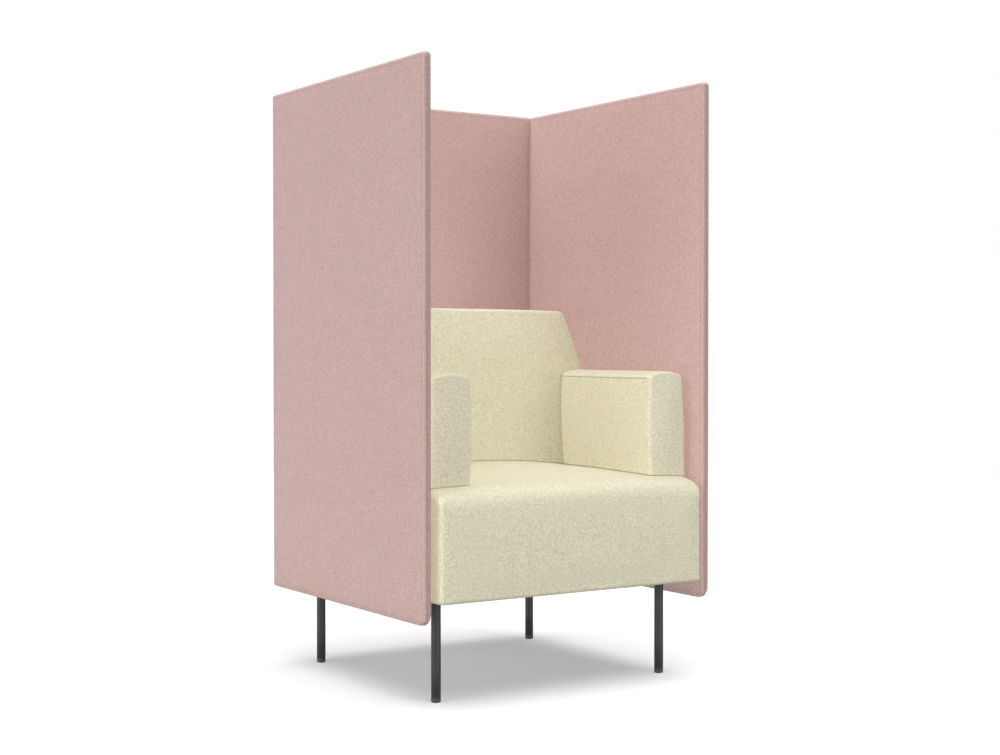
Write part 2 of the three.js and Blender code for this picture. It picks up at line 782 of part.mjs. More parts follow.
function addBack() {
  const top = seatCrest + 2 * clothThickness;
  const halfX = backBlock.halfX - backHem;
  const hemLow = [-halfX, backFront + backHem, seatUnderside];
  const hem = solidOf(box(hemLow, [halfX, backRear - backHem, top]));
  addPiece('back_cover', geometryOf(clothCover(backBlock, hem)), creamCloth);
  addPiece('back_foam', geometryOf(cut(foamCore(backBlock), [backFrameRoom()])), foam);
  addPiece('lumbar_board', lumbarBoard(), plywood);
  const sides = { left: -webbingPitch, right: webbingPitch };
  for (const [side, x] of Object.entries(sides)) {
    const piece = addPiece(`back_gable_${side}`, gable(), plywood);
    piece.position.x = x;
  }
}

// Legs, each with a pressed-in threaded insert and a levelling glide

function leg() {
  const low = [-legPlateWidth / 2, -legPlateLength / 2];
  const high = [legPlateWidth / 2, legPlateLength / 2];
  const shape = roundedRectangle(low, high, sameCorners(legPlateCorner));
  for (const signX of [-1, 1]) {
    for (const signY of [-1, 1]) {
      const holeX = signX * (legPlateWidth / 2 - legPlateHoleMargin);
      const holeY = signY * (legPlateLength / 2 - legPlateHoleMargin);
      shape.holes.push(roundHole(holeX, holeY, legPlateHoleRadius));
    }
  }
  const flange = plate(shape, legPlateThickness);
  flange.translate(0, 0, legTop);
  const foot = glideHeight + fit;
  const centre = new THREE.Vector3();
  const tube = rod(centre, axisZ, foot, legTop, legRadius, roundSides);
  const bore = rod(centre, axisZ, foot - overrun, legTop, legRadius - legWall, roundSides);
  return geometryOf(solidOf(flange).add(solidOf(tube)).subtract(solidOf(bore)));
}

function legInsert() {
  const inner = glideStemRadius + insertClearance;
  const outer = legRadius - legWall - insertClearance;
  const foot = glideHeight + fit;
  const head = foot + insertLength;
  return turned([[inner, foot], [outer, foot], [outer, head], [inner, head], [inner, foot]]);
}

function glide() {
  const profile = [[0, 0]];
  for (let step = 0; step <= roundSteps; step += 1) {
    const angle = (Math.PI / 2) * (step / roundSteps);
    const radius = legRadius - glideRound + glideRound * Math.sin(angle);
    profile.push([radius, glideRound * (1 - Math.cos(angle))]);
  }
  const head = glideHeight + glideStemLength;
  profile.push([legRadius, glideHeight], [glideStemRadius, glideHeight], [glideStemRadius, head], [0, head]);
  return turned(profile);
}

function addLegs() {
  const corners = {
    front_left: [-legX, legFrontY],
    front_right: [legX, legFrontY],
    rear_left: [-legX, legRearY],
    rear_right: [legX, legRearY],
  };
  for (const [corner, [x, y]] of Object.entries(corners)) {
    const stand = new THREE.Group();
    stand.position.set(x, y, 0);
    chair.add(stand);
    addPiece(`leg_${corner}`, leg(), blackSteel, stand);
    addPiece(`leg_insert_${corner}`, legInsert(), blackPlastic, stand);
    addPiece(`glide_${corner}`, glide(), blackPlastic, stand);
  }
}

// The screen

// A panel in its own plane: the cover is a flat sock round a board, open in a slot along its lower edge
function screenPanel(low, high, radii, holes) {
  const skin = panelSkin + fit;
  const inset = (depth) => {
    const inner = [low.map((value) => value + depth), high.map((value) => value - depth)];
    return roundedRectangle(...inner, radii.map((radius) => Math.max(radius - depth, panelSkin)));
  };
  const sheath = solidOf(plate(inset(0), panelThickness, panelEdgeRadius));
  const hollow = plate(inset(panelSkin), panelThickness - 2 * panelSkin);
  hollow.translate(0, 0, panelSkin);
  const middle = panelThickness / 2;
  const slotLow = [low[0] + panelSlotEnd, low[1] - overrun, middle - panelSlotWidth / 2];
  const slotHigh = [high[0] - panelSlotEnd, low[1] + 2 * panelSkin, middle + panelSlotWidth / 2];
  const board = plate(inset(skin), panelThickness - 2 * skin);
  board.translate(0, 0, skin);
  return {
    cover: geometryOf(cut(sheath, [solidOf(hollow), solidOf(box(slotLow, slotHigh)), ...holes.cover])),
    board: geometryOf(cut(solidOf(board), holes.board)),
  };
}

// Holes are made in the panel's own plane, where a point of the chair is [along, up, through]
function panelHole(radius, point, direction, start, end) {
  return solidOf(rod(new THREE.Vector3(...point), direction, start, end, radius + boltHoleClearance));
}

function addSidePanels() {
  const skin = panelSkin + fit;
  const spacers = fixingYs.map((y) => panelHole(spacerRadius, [y, fixingZ, 0], axisZ, -overrun, skin));
  const bolts = fixingYs.map((y) => panelHole(boltRadius, [y, fixingZ, 0], axisZ, 0, skin + boltBite + fit));
  const studs = studZs.map((z) => {
    return panelHole(studRadius, [studY, z, 0], axisZ, -overrun, skin + studSideDepth + fit);
  });
  const radii = [panelBottomFrontRadius, panelRearRadius, panelRearRadius, panelTopFrontRadius];
  const holes = { cover: [...spacers, ...studs], board: [...bolts, ...studs] };
  const panel = screenPanel([panelFront, panelFloorClearance], [halfDepth, overallHeight], radii, holes);
  for (const [part, geometry] of Object.entries(panel)) {
    geometry.applyMatrix4(layAlongSide);
    geometry.translate(panelInner, 0, 0);
    const material = part === 'cover' ? pinkCloth : plywood;
    addPiece(`panel_right_${part}`, geometry, material);
    addPiece(`panel_left_${part}`, mirrored(geometry), material);
  }
}

function addBackPanel() {
  const skin = panelSkin + fit;
  const halfSpan = panelInner - fit;
  const through = panelThickness;
  const spacers = fixingXs.map((x) => {
    return panelHole(spacerRadius, [x, fixingZ, 0], axisZ, through - skin, through + overrun);
  });
  const bolts = fixingXs.map((x) => {
    return panelHole(boltRadius, [x, fixingZ, 0], axisZ, through - skin - boltBite - fit, through);
  });
  const studs = studZs.flatMap((z) => {
    const reach = halfSpan - skin - studBackDepth - fit;
    const point = [0, z, through / 2];
    return [
      panelHole(studRadius, point, axisX, reach, halfWidth),
      panelHole(studRadius, point, axisX, -halfWidth, -reach),
    ];
  });
  const holes = { cover: [...spacers, ...studs], board: [...bolts, ...studs] };
  const low = [-halfSpan, panelFloorClearance];
  const panel = screenPanel(low, [halfSpan, overallHeight], sameCorners(panelRearRadius), holes);
  for (const [part, geometry] of Object.entries(panel)) {
    geometry.applyMatrix4(layAcross);
    geometry.translate(0, halfDepth, 0);
    addPiece(`panel_back_${part}`, geometry, part === 'cover' ? pinkCloth : plywood);
  }
}

// Fixings: bolts through spacers hold the screen to the frame, studs hold the panels to each other

function bolt(length) {
  const neck = boltHeadHeight;
  const end = neck + length;
  const head = [[0, 0], [boltHeadRadius, 0], [boltHeadRadius, neck]];
  const shank = [[boltRadius, neck], [boltRadius, end], [0, end]];
  return turned([...head, ...shank], boltSides);
}

function spacer(length) {
  const bore = boltRadius + boltHoleClearance;
  return turned([[bore, 0], [spacerRadius, 0], [spacerRadius, length], [bore, length], [bore, 0]], boltSides);
}

function addSideFixings() {
  const boltHead = armBoardInner - fit - boltHeadHeight;
  const boltLength = sideBoardInner + boltBite - armBoardInner + fit;
  const spacerStart = frameHalfWidth + fit;
  const spacerLength = sideBoardInner - fit - spacerStart;
  const names = ['front', 'rear'];
  names.forEach((name, index) => {
    const pieces = {
      panel_bolt: [bolt(boltLength), boltHead],
      panel_spacer: [spacer(spacerLength), spacerStart],
    };
    for (const [piece, [geometry, start]] of Object.entries(pieces)) {
      geometry.rotateY(Math.PI / 2);
      const right = addPiece(`${piece}_right_${name}`, geometry, zincSteel);
      right.position.set(start, fixingYs[index], fixingZ);
      const left = addPiece(`${piece}_left_${name}`, mirrored(geometry), zincSteel);
      left.position.set(-start, fixingYs[index], fixingZ);
    }
  });
}

function addRearFixings() {
  const railInner = frameRear - boardThickness;
  const boltHead = railInner - fit - boltHeadHeight;
  const boltLength = backBoardFront + boltBite - railInner + fit;
  const spacerStart = frameRear + fit;
  const spacerLength = backBoardFront - fit - spacerStart;
  const names = ['left', 'right'];
  names.forEach((name, index) => {
    const screw = addPiece(`panel_bolt_back_${name}`, bolt(boltLength), zincSteel);
    screw.rotation.x = -Math.PI / 2;
    screw.position.set(fixingXs[index], boltHead, fixingZ);
    const sleeve = addPiece(`panel_spacer_back_${name}`, spacer(spacerLength), zincSteel);
    sleeve.rotation.x = -Math.PI / 2;
    sleeve.position.set(fixingXs[index], spacerStart, fixingZ);
  });
}

function addStuds() {
  const start = panelInner - fit - panelSkin - fit - studBackDepth;
  const end = sideBoardInner + studSideDepth;
  const names = ['lower', 'upper'];
  names.forEach((name, index) => {
    const point = new THREE.Vector3(0, studY, studZs[index]);
    const right = rod(point, axisX, start, end, studRadius);
    addPiece(`panel_stud_right_${name}`, right, zincSteel);
    addPiece(`panel_stud_left_${name}`, mirrored(right), zincSteel);
  });
}

addSeatUpholstery();
addSeatFrame();
addCornerBlocks();
addWebbing();
addDustCloth();
addArms();
addBack();
addLegs();
addSidePanels();
addBackPanel();
addSideFixings();
addRearFixings();
addStuds();

export default chair;
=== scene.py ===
# Acoustic high back lounge chair: a padded armchair on four slim steel legs, standing inside a
# three-sided screen of thin upholstered panels. Metres, +Z up, the sitter faces -Y.

import math

import bpy
import numpy as np
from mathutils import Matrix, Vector
from mathutils.bvhtree import BVHTree


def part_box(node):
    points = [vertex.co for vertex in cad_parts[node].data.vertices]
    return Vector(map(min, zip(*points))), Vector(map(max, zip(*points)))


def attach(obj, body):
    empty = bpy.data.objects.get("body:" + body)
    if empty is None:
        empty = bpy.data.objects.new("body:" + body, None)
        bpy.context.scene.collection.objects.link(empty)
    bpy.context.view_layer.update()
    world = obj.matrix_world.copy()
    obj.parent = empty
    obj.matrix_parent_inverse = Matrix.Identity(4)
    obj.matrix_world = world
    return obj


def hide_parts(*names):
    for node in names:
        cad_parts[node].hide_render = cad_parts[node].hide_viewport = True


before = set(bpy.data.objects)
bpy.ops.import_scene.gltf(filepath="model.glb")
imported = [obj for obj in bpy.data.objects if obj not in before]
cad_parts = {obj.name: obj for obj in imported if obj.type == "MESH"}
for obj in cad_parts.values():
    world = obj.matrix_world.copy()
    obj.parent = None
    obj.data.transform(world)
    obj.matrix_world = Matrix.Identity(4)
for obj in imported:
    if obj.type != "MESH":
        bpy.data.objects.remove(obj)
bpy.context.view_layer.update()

# Camera, at the photograph's viewing angle
PHOTO_WIDTH = 1000
FOCAL_PIXELS = 1663.619
SENSOR_WIDTH = 36
CAMERA_PLACE = (-1.99883, -3.14859, 0.715)
CAMERA_DIP = 0.976
CAMERA_TURN = -32.851

# Fits
CLEARANCE = 0.0003
CLOTH_SHRINK = 0.0012
CLOTH_RIPPLE = 0.00022
CLOTH_RIPPLE_LENGTHS = (0.05, 0.16)

# Mesh
MESH_STEP = 0.006
FINE_STEP = 0.0007
CORNER_GROWTH = 0.35
CORNER_LEAST = 0.001
CORNER_STEPS = 8
BASE_STEPS = 5
ROLL_STEPS = 10
STRIP_STEPS = 3
CAP_CORNER = 0.02

# Seat block
SEAT_TOP = 0.440
SEAT_RISE = 0.007
SEAT_FRONT_CROWN = 0.0035
SEAT_REAR_CROWN = 0.015
SEAT_FRONT_ROLL = 0.040
SEAT_SIDE_ROLL = 0.040
SEAT_SIDE_ROLL_POWER = 16
SEAT_REAR_ROLL = 0.010
SEAT_EDGE = 0.009
SEAT_FRONT_BULGE = 0.002
SEAT_HEM = 0.016
SEAT_HEM_RISE = 0.0032
SEAT_ROLL_PASSES = 40

# Arms
ARM_WIDTH = 0.099
ARM_TOP_WIDTH = 0.091
ARM_SIDE_INSET = 0.0033
ARM_SETBACK = 0.0455
ARM_TOP = 0.658
ARM_CROWN = 0.010
ARM_ROLL = 0.006
ARM_EDGE = 0.009
ARM_BASE = 0.003
ARM_INNER_BULGE = 0.007
ARM_OUTER_BULGE = 0.003
ARM_FRONT_BULGE = 0.007
ARM_SEAM_TOP = 0.0062
ARM_SEAM_FRONT = 0.0085
ARM_SEAM_CORNER = 0.010
ARM_SEAM_ENDS = (0.008, 0.004)
ARM_FINE_FRONT = 0.016
ARM_FINE_TOP = 0.024

# Back
BACK_SEAT_DEPTH = 0.384
BACK_TOP = 0.8056
BACK_TOP_WIDTH = 0.494
BACK_BASE_INSET = 0.006
BACK_TAPER_POWER = 2.03
BACK_FRONT_LEAN = 0.024
BACK_REAR_LEAN = 0.045
BACK_ROLL = 0.009
BACK_TOP_CROWN = 0.0032
BACK_FRONT_BULGE = 0.012
BACK_EDGE = 0.012
BACK_BASE = 0.003

# Seams, with painted shade in their grooves and on the upright panel rims
SEAM_DEPTH = 0.0013
SEAM_WIDTH = 0.0010
PANEL_SEAM_DEPTH = 0.0026
SEAM_LIP = 0.0004
SEAM_LIP_PLACE = 0.0035
SEAM_LIP_WIDTH = 0.0018
# How far the seam attribute darkens the cloth: the seams' darker lines, partly painted shade, and the
# rims' painted shade
SEAM_PAINTED_SHADE = 0.42
# Painted shade on the upright front and rear panel rims, and how far from their ends it fades out
RIM_PAINTED_SHADE = 0.65
RIM_PAINTED_SHADE_ENDS = (0.0012, 0.0034)

# Screen panels
PANEL_TOP_FRONT = 0.009
PANEL_BOTTOM_FRONT = 0.025
PANEL_REAR = 0.006
PANEL_RIM = 0.0062
PANEL_RIM_POWER = 2.5
PANEL_BORDER_SEAM = 0.0075
PANEL_PILLOW = 0.0009
PANEL_PILLOW_REACH = 0.026
PANEL_STEP = 0.012
PANEL_RIPPLE = 0.00025
PANEL_RIPPLE_LENGTHS = (0.10, 0.34)
PANEL_CALM = 0.03

# Legs, glides and fixings
LEG_RADIUS = 0.010
LEG_WALL = 0.0018
LEG_PLATE = (0.054, 0.080, 0.003)
LEG_PLATE_CORNER = 0.008
LEG_PLATE_EDGE = 0.0006
LEG_SCREW_MARGIN = 0.009
LEG_WELD = 0.004
LEG_CHAMFER = 0.0004
LEG_SEAT = 0.0005
GLIDE_STEM_RADIUS = 0.004
GLIDE_STEM_TIP = 0.001
GLIDE_ROUND = 0.003
GLIDE_FLAT = 0.0015
GLIDE_LINE_HEIGHT = 0.0078
GLIDE_LINE_DEPTH = 0.0005
GLIDE_LINE_STEP = 0.0003
GLIDE_EDGE = 0.0004
SCREW_HEAD_RADIUS = 0.0042
SCREW_HEAD_HEIGHT = 0.0022
SCREW_SEAT = 0.0001
SPACER_BORE = 0.0043
SPACER_CHAMFER = 0.0008
STAPLE_LENGTH = 0.011
STAPLE_WIRE = 0.0009
STAPLE_PITCH = 0.045
STAPLE_MARGIN = 0.008
SHEET_STEP = 0.012
SHEET_HALF = 0.0002
SHEET_RIPPLE = 0.00015
SHEET_RIPPLE_LENGTHS = (0.04, 0.12)

# Cloth simulation
VOXEL = 0.006
CLOTH_PRESSURE = 4.0
CLOTH_FRAMES = 20
SWELL_PASSES = 6
SETTLE_PASSES = 4
SEAT_SWELL = 0.0030
ARM_SWELL = 0.0022
BACK_SWELL = 0.0030

# Bands in which cloth that rests on something goes from free to held, about each resting place
HELD_UNDER_ARM_SIDE = (-0.012, 0.006)
HELD_UNDER_ARM_FRONT = (-0.008, 0.008)
HELD_UNDER_BACK = (-0.016, 0.004)
HELD_SEAT_TOP = (-0.030, -0.012)
HELD_SEAT_FOOT = (0.002, 0.012)
HELD_SEAT_REAR = (-0.004, -0.001)
HELD_ON_SEAT = (0.002, 0.014)
HELD_ARM_REAR = (-0.016, -0.004)
HELD_BACK_SIDE = (-0.020, -0.004)
HELD_BACK_BELOW_ARM_TOP = (-0.004, 0.012)
HELD_BACK_FRONT = (0.004, 0.016)

# Cloth colours and weave
CREAM = (0.664, 0.630, 0.468)
PINK = (0.560, 0.387, 0.362)
THREAD_PITCH = 0.0012
THREAD_FLATNESS = 0.35
WEAVE_BUMP = 0.00035
FLECK_SCALE = 270
FLECK_CONTRAST = 0.43
YARN_SCALE = 170
YARN_HUE = 0.045
THREADS_FINE = 700
THREADS_LONG = 120
THREADS_CONTRAST = 0.12
WEAVE_MIDDLE = 0.6
WEAVE_CONTRAST = 0.07
CLOUD_SCALE = 9
CLOUD_CONTRAST = 0.03

# Light
AMBIENT = 0.07
FLOOR_COLOUR = 0.95
FLOOR_GLOW = 1.3
FLOOR_SHADE = 0.88
FLOOR_BOUNCE = 0.35
FLOOR_RADIUS = 6.0
FLOOR_EDGE = 0.01
FLOOR_THICK = 0.02


# Small mesh helpers

def make_object(name, points, faces, material):
    mesh = bpy.data.meshes.new(name)
    mesh.from_pydata(np.asarray(points).tolist(), [], [tuple(int(i) for i in face) for face in faces])
    mesh.update()
    mesh.polygons.foreach_set("use_smooth", [True] * len(mesh.polygons))
    mesh.materials.append(material)
    piece = bpy.data.objects.new(name, mesh)
    bpy.context.scene.collection.objects.link(piece)
    return piece


def store_seam_painted_shade(piece, values):
    """Keeps how dark the cloth is painted at each point: a seam's darker line, partly painted shade in
    its groove, and painted shade on the upright panel rims.
    """
    layer = piece.data.attributes.new("seam", "FLOAT", "POINT")
    layer.data.foreach_set("value", values)


def mark_seams_and_painted_shade(piece, distance, least=0.0):
    """Marks the seams by each point's distance from them, as a darker line that is partly painted shade
    in the groove; the smallest value that it is given is painted shade that it has anyway.
    """
    store_seam_painted_shade(piece, np.maximum(np.exp(-(distance / SEAM_WIDTH) ** 2), least))


def points_of(mesh):
    points = np.empty(len(mesh.vertices) * 3)
    mesh.vertices.foreach_get("co", points)
    return points.reshape(-1, 3)


def set_points(mesh, points):
    mesh.vertices.foreach_set("co", np.asarray(points).ravel())
    mesh.update()


def normals_of(mesh):
    normals = np.empty(len(mesh.vertices) * 3)
    mesh.vertex_normals.foreach_get("vector", normals)
    return normals.reshape(-1, 3)


def node_box(name):
    low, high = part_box(name)
    return np.array(low), np.array(high)


def node_middle(name):
    """The middle of a node's box, and half its size."""
    low, high = node_box(name)
    return (low + high) / 2, (high - low) / 2


def dome(share):
    return np.maximum(0, 1 - share * share)


def smooth_step(value, start, end):
    share = np.clip((value - start) / (end - start), 0, 1)
    return share * share * (3 - 2 * share)


def ripple(seed, first, second, shortest, longest, waves=14):
    """A smooth field of about -1 to 1 over two directions, the same for the same seed."""
    random = np.random.RandomState(seed)
    total = np.zeros(len(first))
    for _ in range(waves):
        length, turn, phase = random.uniform((shortest, 0, 0), (longest, 2 * math.pi, 2 * math.pi))
        along = first * math.cos(turn) + second * math.sin(turn)
        total += np.sin(2 * math.pi * along / length + phase)
    return total / math.sqrt(waves)


def groove(distance, depth=SEAM_DEPTH):
    """How far a seam draws the cloth in, by the distance from it, with a fuller lip on each side."""
    drawn = depth * np.exp(-(distance / SEAM_WIDTH) ** 2)
    lip = SEAM_LIP * np.exp(-((np.abs(distance) - SEAM_LIP_PLACE) / SEAM_LIP_WIDTH) ** 2)
    return lip - drawn


# Rings and blocks

def spread(low, high, step):
    """Evenly spaced places from low to high, both included, about a step apart."""
    count = max(2, round((high - low) / step) + 1)
    return np.linspace(low, high, count)


def grid_faces(columns, rows):
    """Quads of a grid of points, row by row, that face up."""
    faces = []
    for row in range(rows - 1):
        for column in range(columns - 1):
            corner = row * columns + column
            faces.append((corner, corner + 1, corner + columns + 1, corner + columns))
    return faces


def shifted(face, start, turned_over=False):
    """A face of points that are counted from start, turned over where asked."""
    return tuple(start + index for index in (reversed(face) if turned_over else face))


class Outline:
    """Stations round a rounded rectangle, anticlockwise from its front right corner.

    lines_x and lines_y are the shares, from -1 to 1 without the ends, that its sides are cut at."""

    def __init__(self, lines_x, lines_y, corner_steps):
        self.lines_x = np.concatenate([[-1], lines_x, [1]])
        self.lines_y = np.concatenate([[-1], lines_y, [1]])
        sides = [(1, -1, lines_y), (1, 1, lines_x[::-1]), (-1, 1, lines_y[::-1]), (-1, -1, lines_x)]
        stations = []
        for index, (sign_x, sign_y, lines) in enumerate(sides):
            turn = (index - 1) * math.pi / 2
            for step in range(corner_steps + 1):
                stations.append((sign_x, sign_y, turn + math.pi / 2 * step / corner_steps))
            for share in lines:
                x, y = (share, sign_y) if index in (1, 3) else (sign_x, share)
                stations.append((x, y, turn + math.pi / 2))
        self.share_x, self.share_y, self.angles = np.array(stations, float).T.copy()
        self.count = len(stations)

    def ring(self, half_x, half_y, inset, height, corner):
        """The outline drawn in by inset, at a height; each may differ from station to station."""
        x = self.share_x * (half_x - inset - corner) + corner * np.cos(self.angles)
        y = self.share_y * (half_y - inset - corner) + corner * np.sin(self.angles)
        return np.column_stack([x, y, np.zeros(self.count) + height])

    def grid(self, half_x, half_y, height):
        """The flat cap inside a ring: a grid that meets the ring's straight stations."""
        x, y = np.meshgrid(self.lines_x * half_x, self.lines_y * half_y)
        return np.column_stack([x.ravel(), y.ravel(), np.full(x.size, height)])

    def rim(self):
        """For each station, the grid's point that it meets."""
        columns = [int(np.argmin(np.abs(self.lines_x - share))) for share in self.share_x]
        rows = [int(np.argmin(np.abs(self.lines_y - share))) for share in self.share_y]
        return [row * len(self.lines_x) + column for row, column in zip(rows, columns)]


def block_mesh(outline, half_x, half_y, rows):
    """A closed block of rings from its underside to its top: rows holds (inset, height, corner)."""
    rings = [outline.ring(half_x, half_y, *row) for row in rows]
    caps = []
    for inset, height, corner in (rows[0], rows[-1]):
        drawn = inset + corner
        caps.append(outline.grid(half_x - drawn, half_y - drawn, height))
    foot, top = caps
    count = outline.count
    foot_start = len(rings) * count
    top_start = foot_start + len(foot)
    faces = []
    for row in range(len(rings) - 1):
        low, high = row * count, (row + 1) * count
        for station in range(count):
            after = (station + 1) % count
            faces.append((low + station, low + after, high + after, high + station))
    rim = outline.rim()
    last = (len(rings) - 1) * count
    for station in range(count):
        after = (station + 1) % count
        here, there = rim[station], rim[after]
        foot_face = [foot_start + here, foot_start + there, after, station]
        top_face = [last + station, last + after, top_start + there, top_start + here]
        if here == there:
            del foot_face[1], top_face[2]
        faces += [tuple(foot_face), tuple(top_face)]
    for quad in grid_faces(len(outline.lines_x), len(outline.lines_y)):
        faces += [shifted(quad, top_start), shifted(quad, foot_start, True)]
    return np.vstack(rings + [foot, top]), faces


def quarter(steps):
    """Pairs of what a quarter round still stands in, and how far it has turned up, from 0 to 1."""
    angles = [math.pi / 2 * step / steps for step in range(steps + 1)]
    return [(1 - math.sin(angle), 1 - math.cos(angle)) for angle in angles]


def block_rows(height, base, roll, strip, cap_corner, edge, walls, hem=None):
    """Rows of a padded block: a rounded foot, the wall, the roll to the top, and a strip to the cap."""
    def corner(inset):
        return edge + CORNER_GROWTH * inset

    rows = []
    if hem:
        inset, rise = hem
        rows += [(inset + MESH_STEP, rise, edge), (inset, rise, edge), (inset, 0, edge)]
    else:
        rows.append((base + MESH_STEP, 0, edge))
    for drawn, risen in quarter(BASE_STEPS):
        rows.append((base * drawn, base * risen, edge))
    for share in walls:
        rows.append((0, base + (height - roll - base) * share, edge))
    for angle in np.linspace(0, math.pi / 2, ROLL_STEPS + 1):
        inset = roll * (1 - math.cos(angle))
        rows.append((inset, height - roll * (1 - math.sin(angle)), corner(inset)))
    rolled = corner(roll)
    for share in np.linspace(0, 1, STRIP_STEPS + 1)[1:-1]:
        inset = roll + (strip - roll) * share
        rows.append((inset, height, rolled + (cap_corner - rolled) * share))
    rows.append((strip, height, cap_corner))
    return rows


def smoothed_round(values, passes):
    for _ in range(passes):
        values = (np.roll(values, 1) + 2 * values + np.roll(values, -1)) / 4
    return values


# Sizes that come from the frame
seat_low, seat_high = node_box("seat_cover")
seat_half = seat_high[0]
seat_front = seat_low[1]
seat_rear = seat_high[1]
seat_foot = seat_low[2]
arm_outer = seat_half - ARM_SIDE_INSET
arm_inner = arm_outer - ARM_WIDTH
arm_front = seat_front + ARM_SETBACK
back_half = seat_half - BACK_BASE_INSET
back_front = seat_front + BACK_SEAT_DEPTH
back_rear = seat_rear
arm_rear = back_front - CLEARANCE


def seat_surface(x, y):
    """Height of the seat's upper face."""
    share = np.minimum(1, (y - arm_front) / (back_front - arm_front))
    towards_back = 1 - (1 - share) ** 2
    crown = SEAT_FRONT_CROWN + (SEAT_REAR_CROWN - SEAT_FRONT_CROWN) * np.maximum(0, towards_back)
    return SEAT_TOP + SEAT_RISE * towards_back + crown * (1 - (x / arm_inner) ** 2)


def edge_lines(half, step, fine_reach=0.0):
    """Shares of a side from -1 to 1 without its ends, closer together at its start where asked."""
    low = -half + fine_reach
    places = list(spread(low, half, step))
    if fine_reach:
        places += list(spread(-half, low, FINE_STEP))
    shares = np.unique(np.round(np.array(places) / half, 6))
    return shares[(shares > -1) & (shares < 1)]


def seat_mesh():
    half_x = seat_half
    half_y = (seat_rear - seat_front - SEAT_FRONT_BULGE) / 2
    height = SEAT_TOP - seat_foot
    outline = Outline(edge_lines(half_x, MESH_STEP), edge_lines(half_y, MESH_STEP), CORNER_STEPS)
    place = outline.ring(half_x, half_y, 0, 0, SEAT_EDGE)
    share_x, share_y = place[:, 0] / half_x, place[:, 1] / half_y
    towards_front = np.maximum(0, -share_y)
    side = SEAT_REAR_ROLL + (SEAT_SIDE_ROLL - SEAT_REAR_ROLL) * towards_front ** SEAT_SIDE_ROLL_POWER
    end = np.where(share_y < 0, SEAT_FRONT_ROLL, SEAT_REAR_ROLL)
    roll = smoothed_round(np.where(np.abs(share_x) < np.abs(share_y), end, side), SEAT_ROLL_PASSES)
    walls = spread(0, 1, MESH_STEP / height)[1:-1]
    hem = (SEAT_HEM, SEAT_HEM_RISE)
    strip = SEAT_SIDE_ROLL + MESH_STEP
    rows = block_rows(height, SEAT_EDGE, roll, strip, CAP_CORNER, SEAT_EDGE, walls, hem)
    points, faces = block_mesh(outline, half_x, half_y, rows)
    x, y, z = points.T
    share = z / height
    bulge = SEAT_FRONT_BULGE * dome(x / half_x) * dome(2 * share - 1) * np.maximum(0, -y / half_y)
    placed_y = seat_front + SEAT_FRONT_BULGE + half_y + y - bulge
    lift = seat_surface(x, placed_y) - SEAT_TOP
    return np.column_stack([x, placed_y, seat_foot + z + lift * share]), faces, None


def arm_mesh():
    half_x = ARM_WIDTH / 2
    half_y = (arm_rear - arm_front - ARM_FRONT_BULGE) / 2
    height = ARM_TOP - SEAT_TOP - CLEARANCE
    lines_y = edge_lines(half_y - ARM_EDGE, MESH_STEP, ARM_FINE_FRONT)
    outline = Outline(edge_lines(half_x, MESH_STEP), lines_y, CORNER_STEPS)
    fine_rows = np.arange(height - ARM_FINE_TOP, height - ARM_ROLL, FINE_STEP)
    wall_rows = spread(ARM_BASE, fine_rows[0], MESH_STEP)[1:-1]
    walls = (np.concatenate([wall_rows, fine_rows]) - ARM_BASE) / (height - ARM_ROLL - ARM_BASE)
    rows = block_rows(height, ARM_BASE, ARM_ROLL, ARM_ROLL + MESH_STEP, ARM_EDGE, ARM_EDGE, walls)
    points, faces = block_mesh(outline, half_x, half_y, rows)
    x, y, z = points.T
    # Distance from the seam that runs up the side's front edge and back along its top, and on the side
    # alone; its darker line, partly painted shade in the groove, shows only along the top
    inside_y = y + half_y - ARM_SEAM_FRONT
    inside_z = height - ARM_SEAM_TOP - z
    near_y = np.maximum(0, ARM_SEAM_CORNER - inside_y)
    near_z = np.maximum(0, ARM_SEAM_CORNER - inside_z)
    seam = ARM_SEAM_CORNER - np.hypot(near_y, near_z)
    starts, full = ARM_SEAM_ENDS
    on_side = np.maximum(smooth_step(np.abs(x), half_x - starts, half_x - full), 0.001)
    seams = seam / on_side, (np.abs(seam) + near_y) / on_side
    share = z / height
    along = y / half_y
    across = (x + half_x) / ARM_WIDTH
    taper = (ARM_WIDTH - ARM_TOP_WIDTH) * across * share
    bulge = (ARM_OUTER_BULGE * across - ARM_INNER_BULGE * (1 - across)) * dome(2 * share - 1)
    placed_x = arm_inner + half_x + x - taper + bulge
    swell = ARM_FRONT_BULGE * dome(x / half_x) * np.maximum(0, -along) * dome(2 * share - 1)
    lean_share = share * (ARM_TOP - SEAT_TOP - SEAT_RISE) / (BACK_TOP - SEAT_TOP - SEAT_RISE)
    lean = BACK_FRONT_LEAN * lean_share ** 2 * np.maximum(0, along)
    placed_y = arm_front + ARM_FRONT_BULGE + half_y + y - swell + lean
    foot = seat_surface(placed_x, placed_y) + CLEARANCE
    crown = ARM_CROWN * dome(x / half_x) * share
    placed_z = foot + (ARM_TOP - foot) * share + crown
    return np.column_stack([placed_x, placed_y, placed_z]), faces, seams


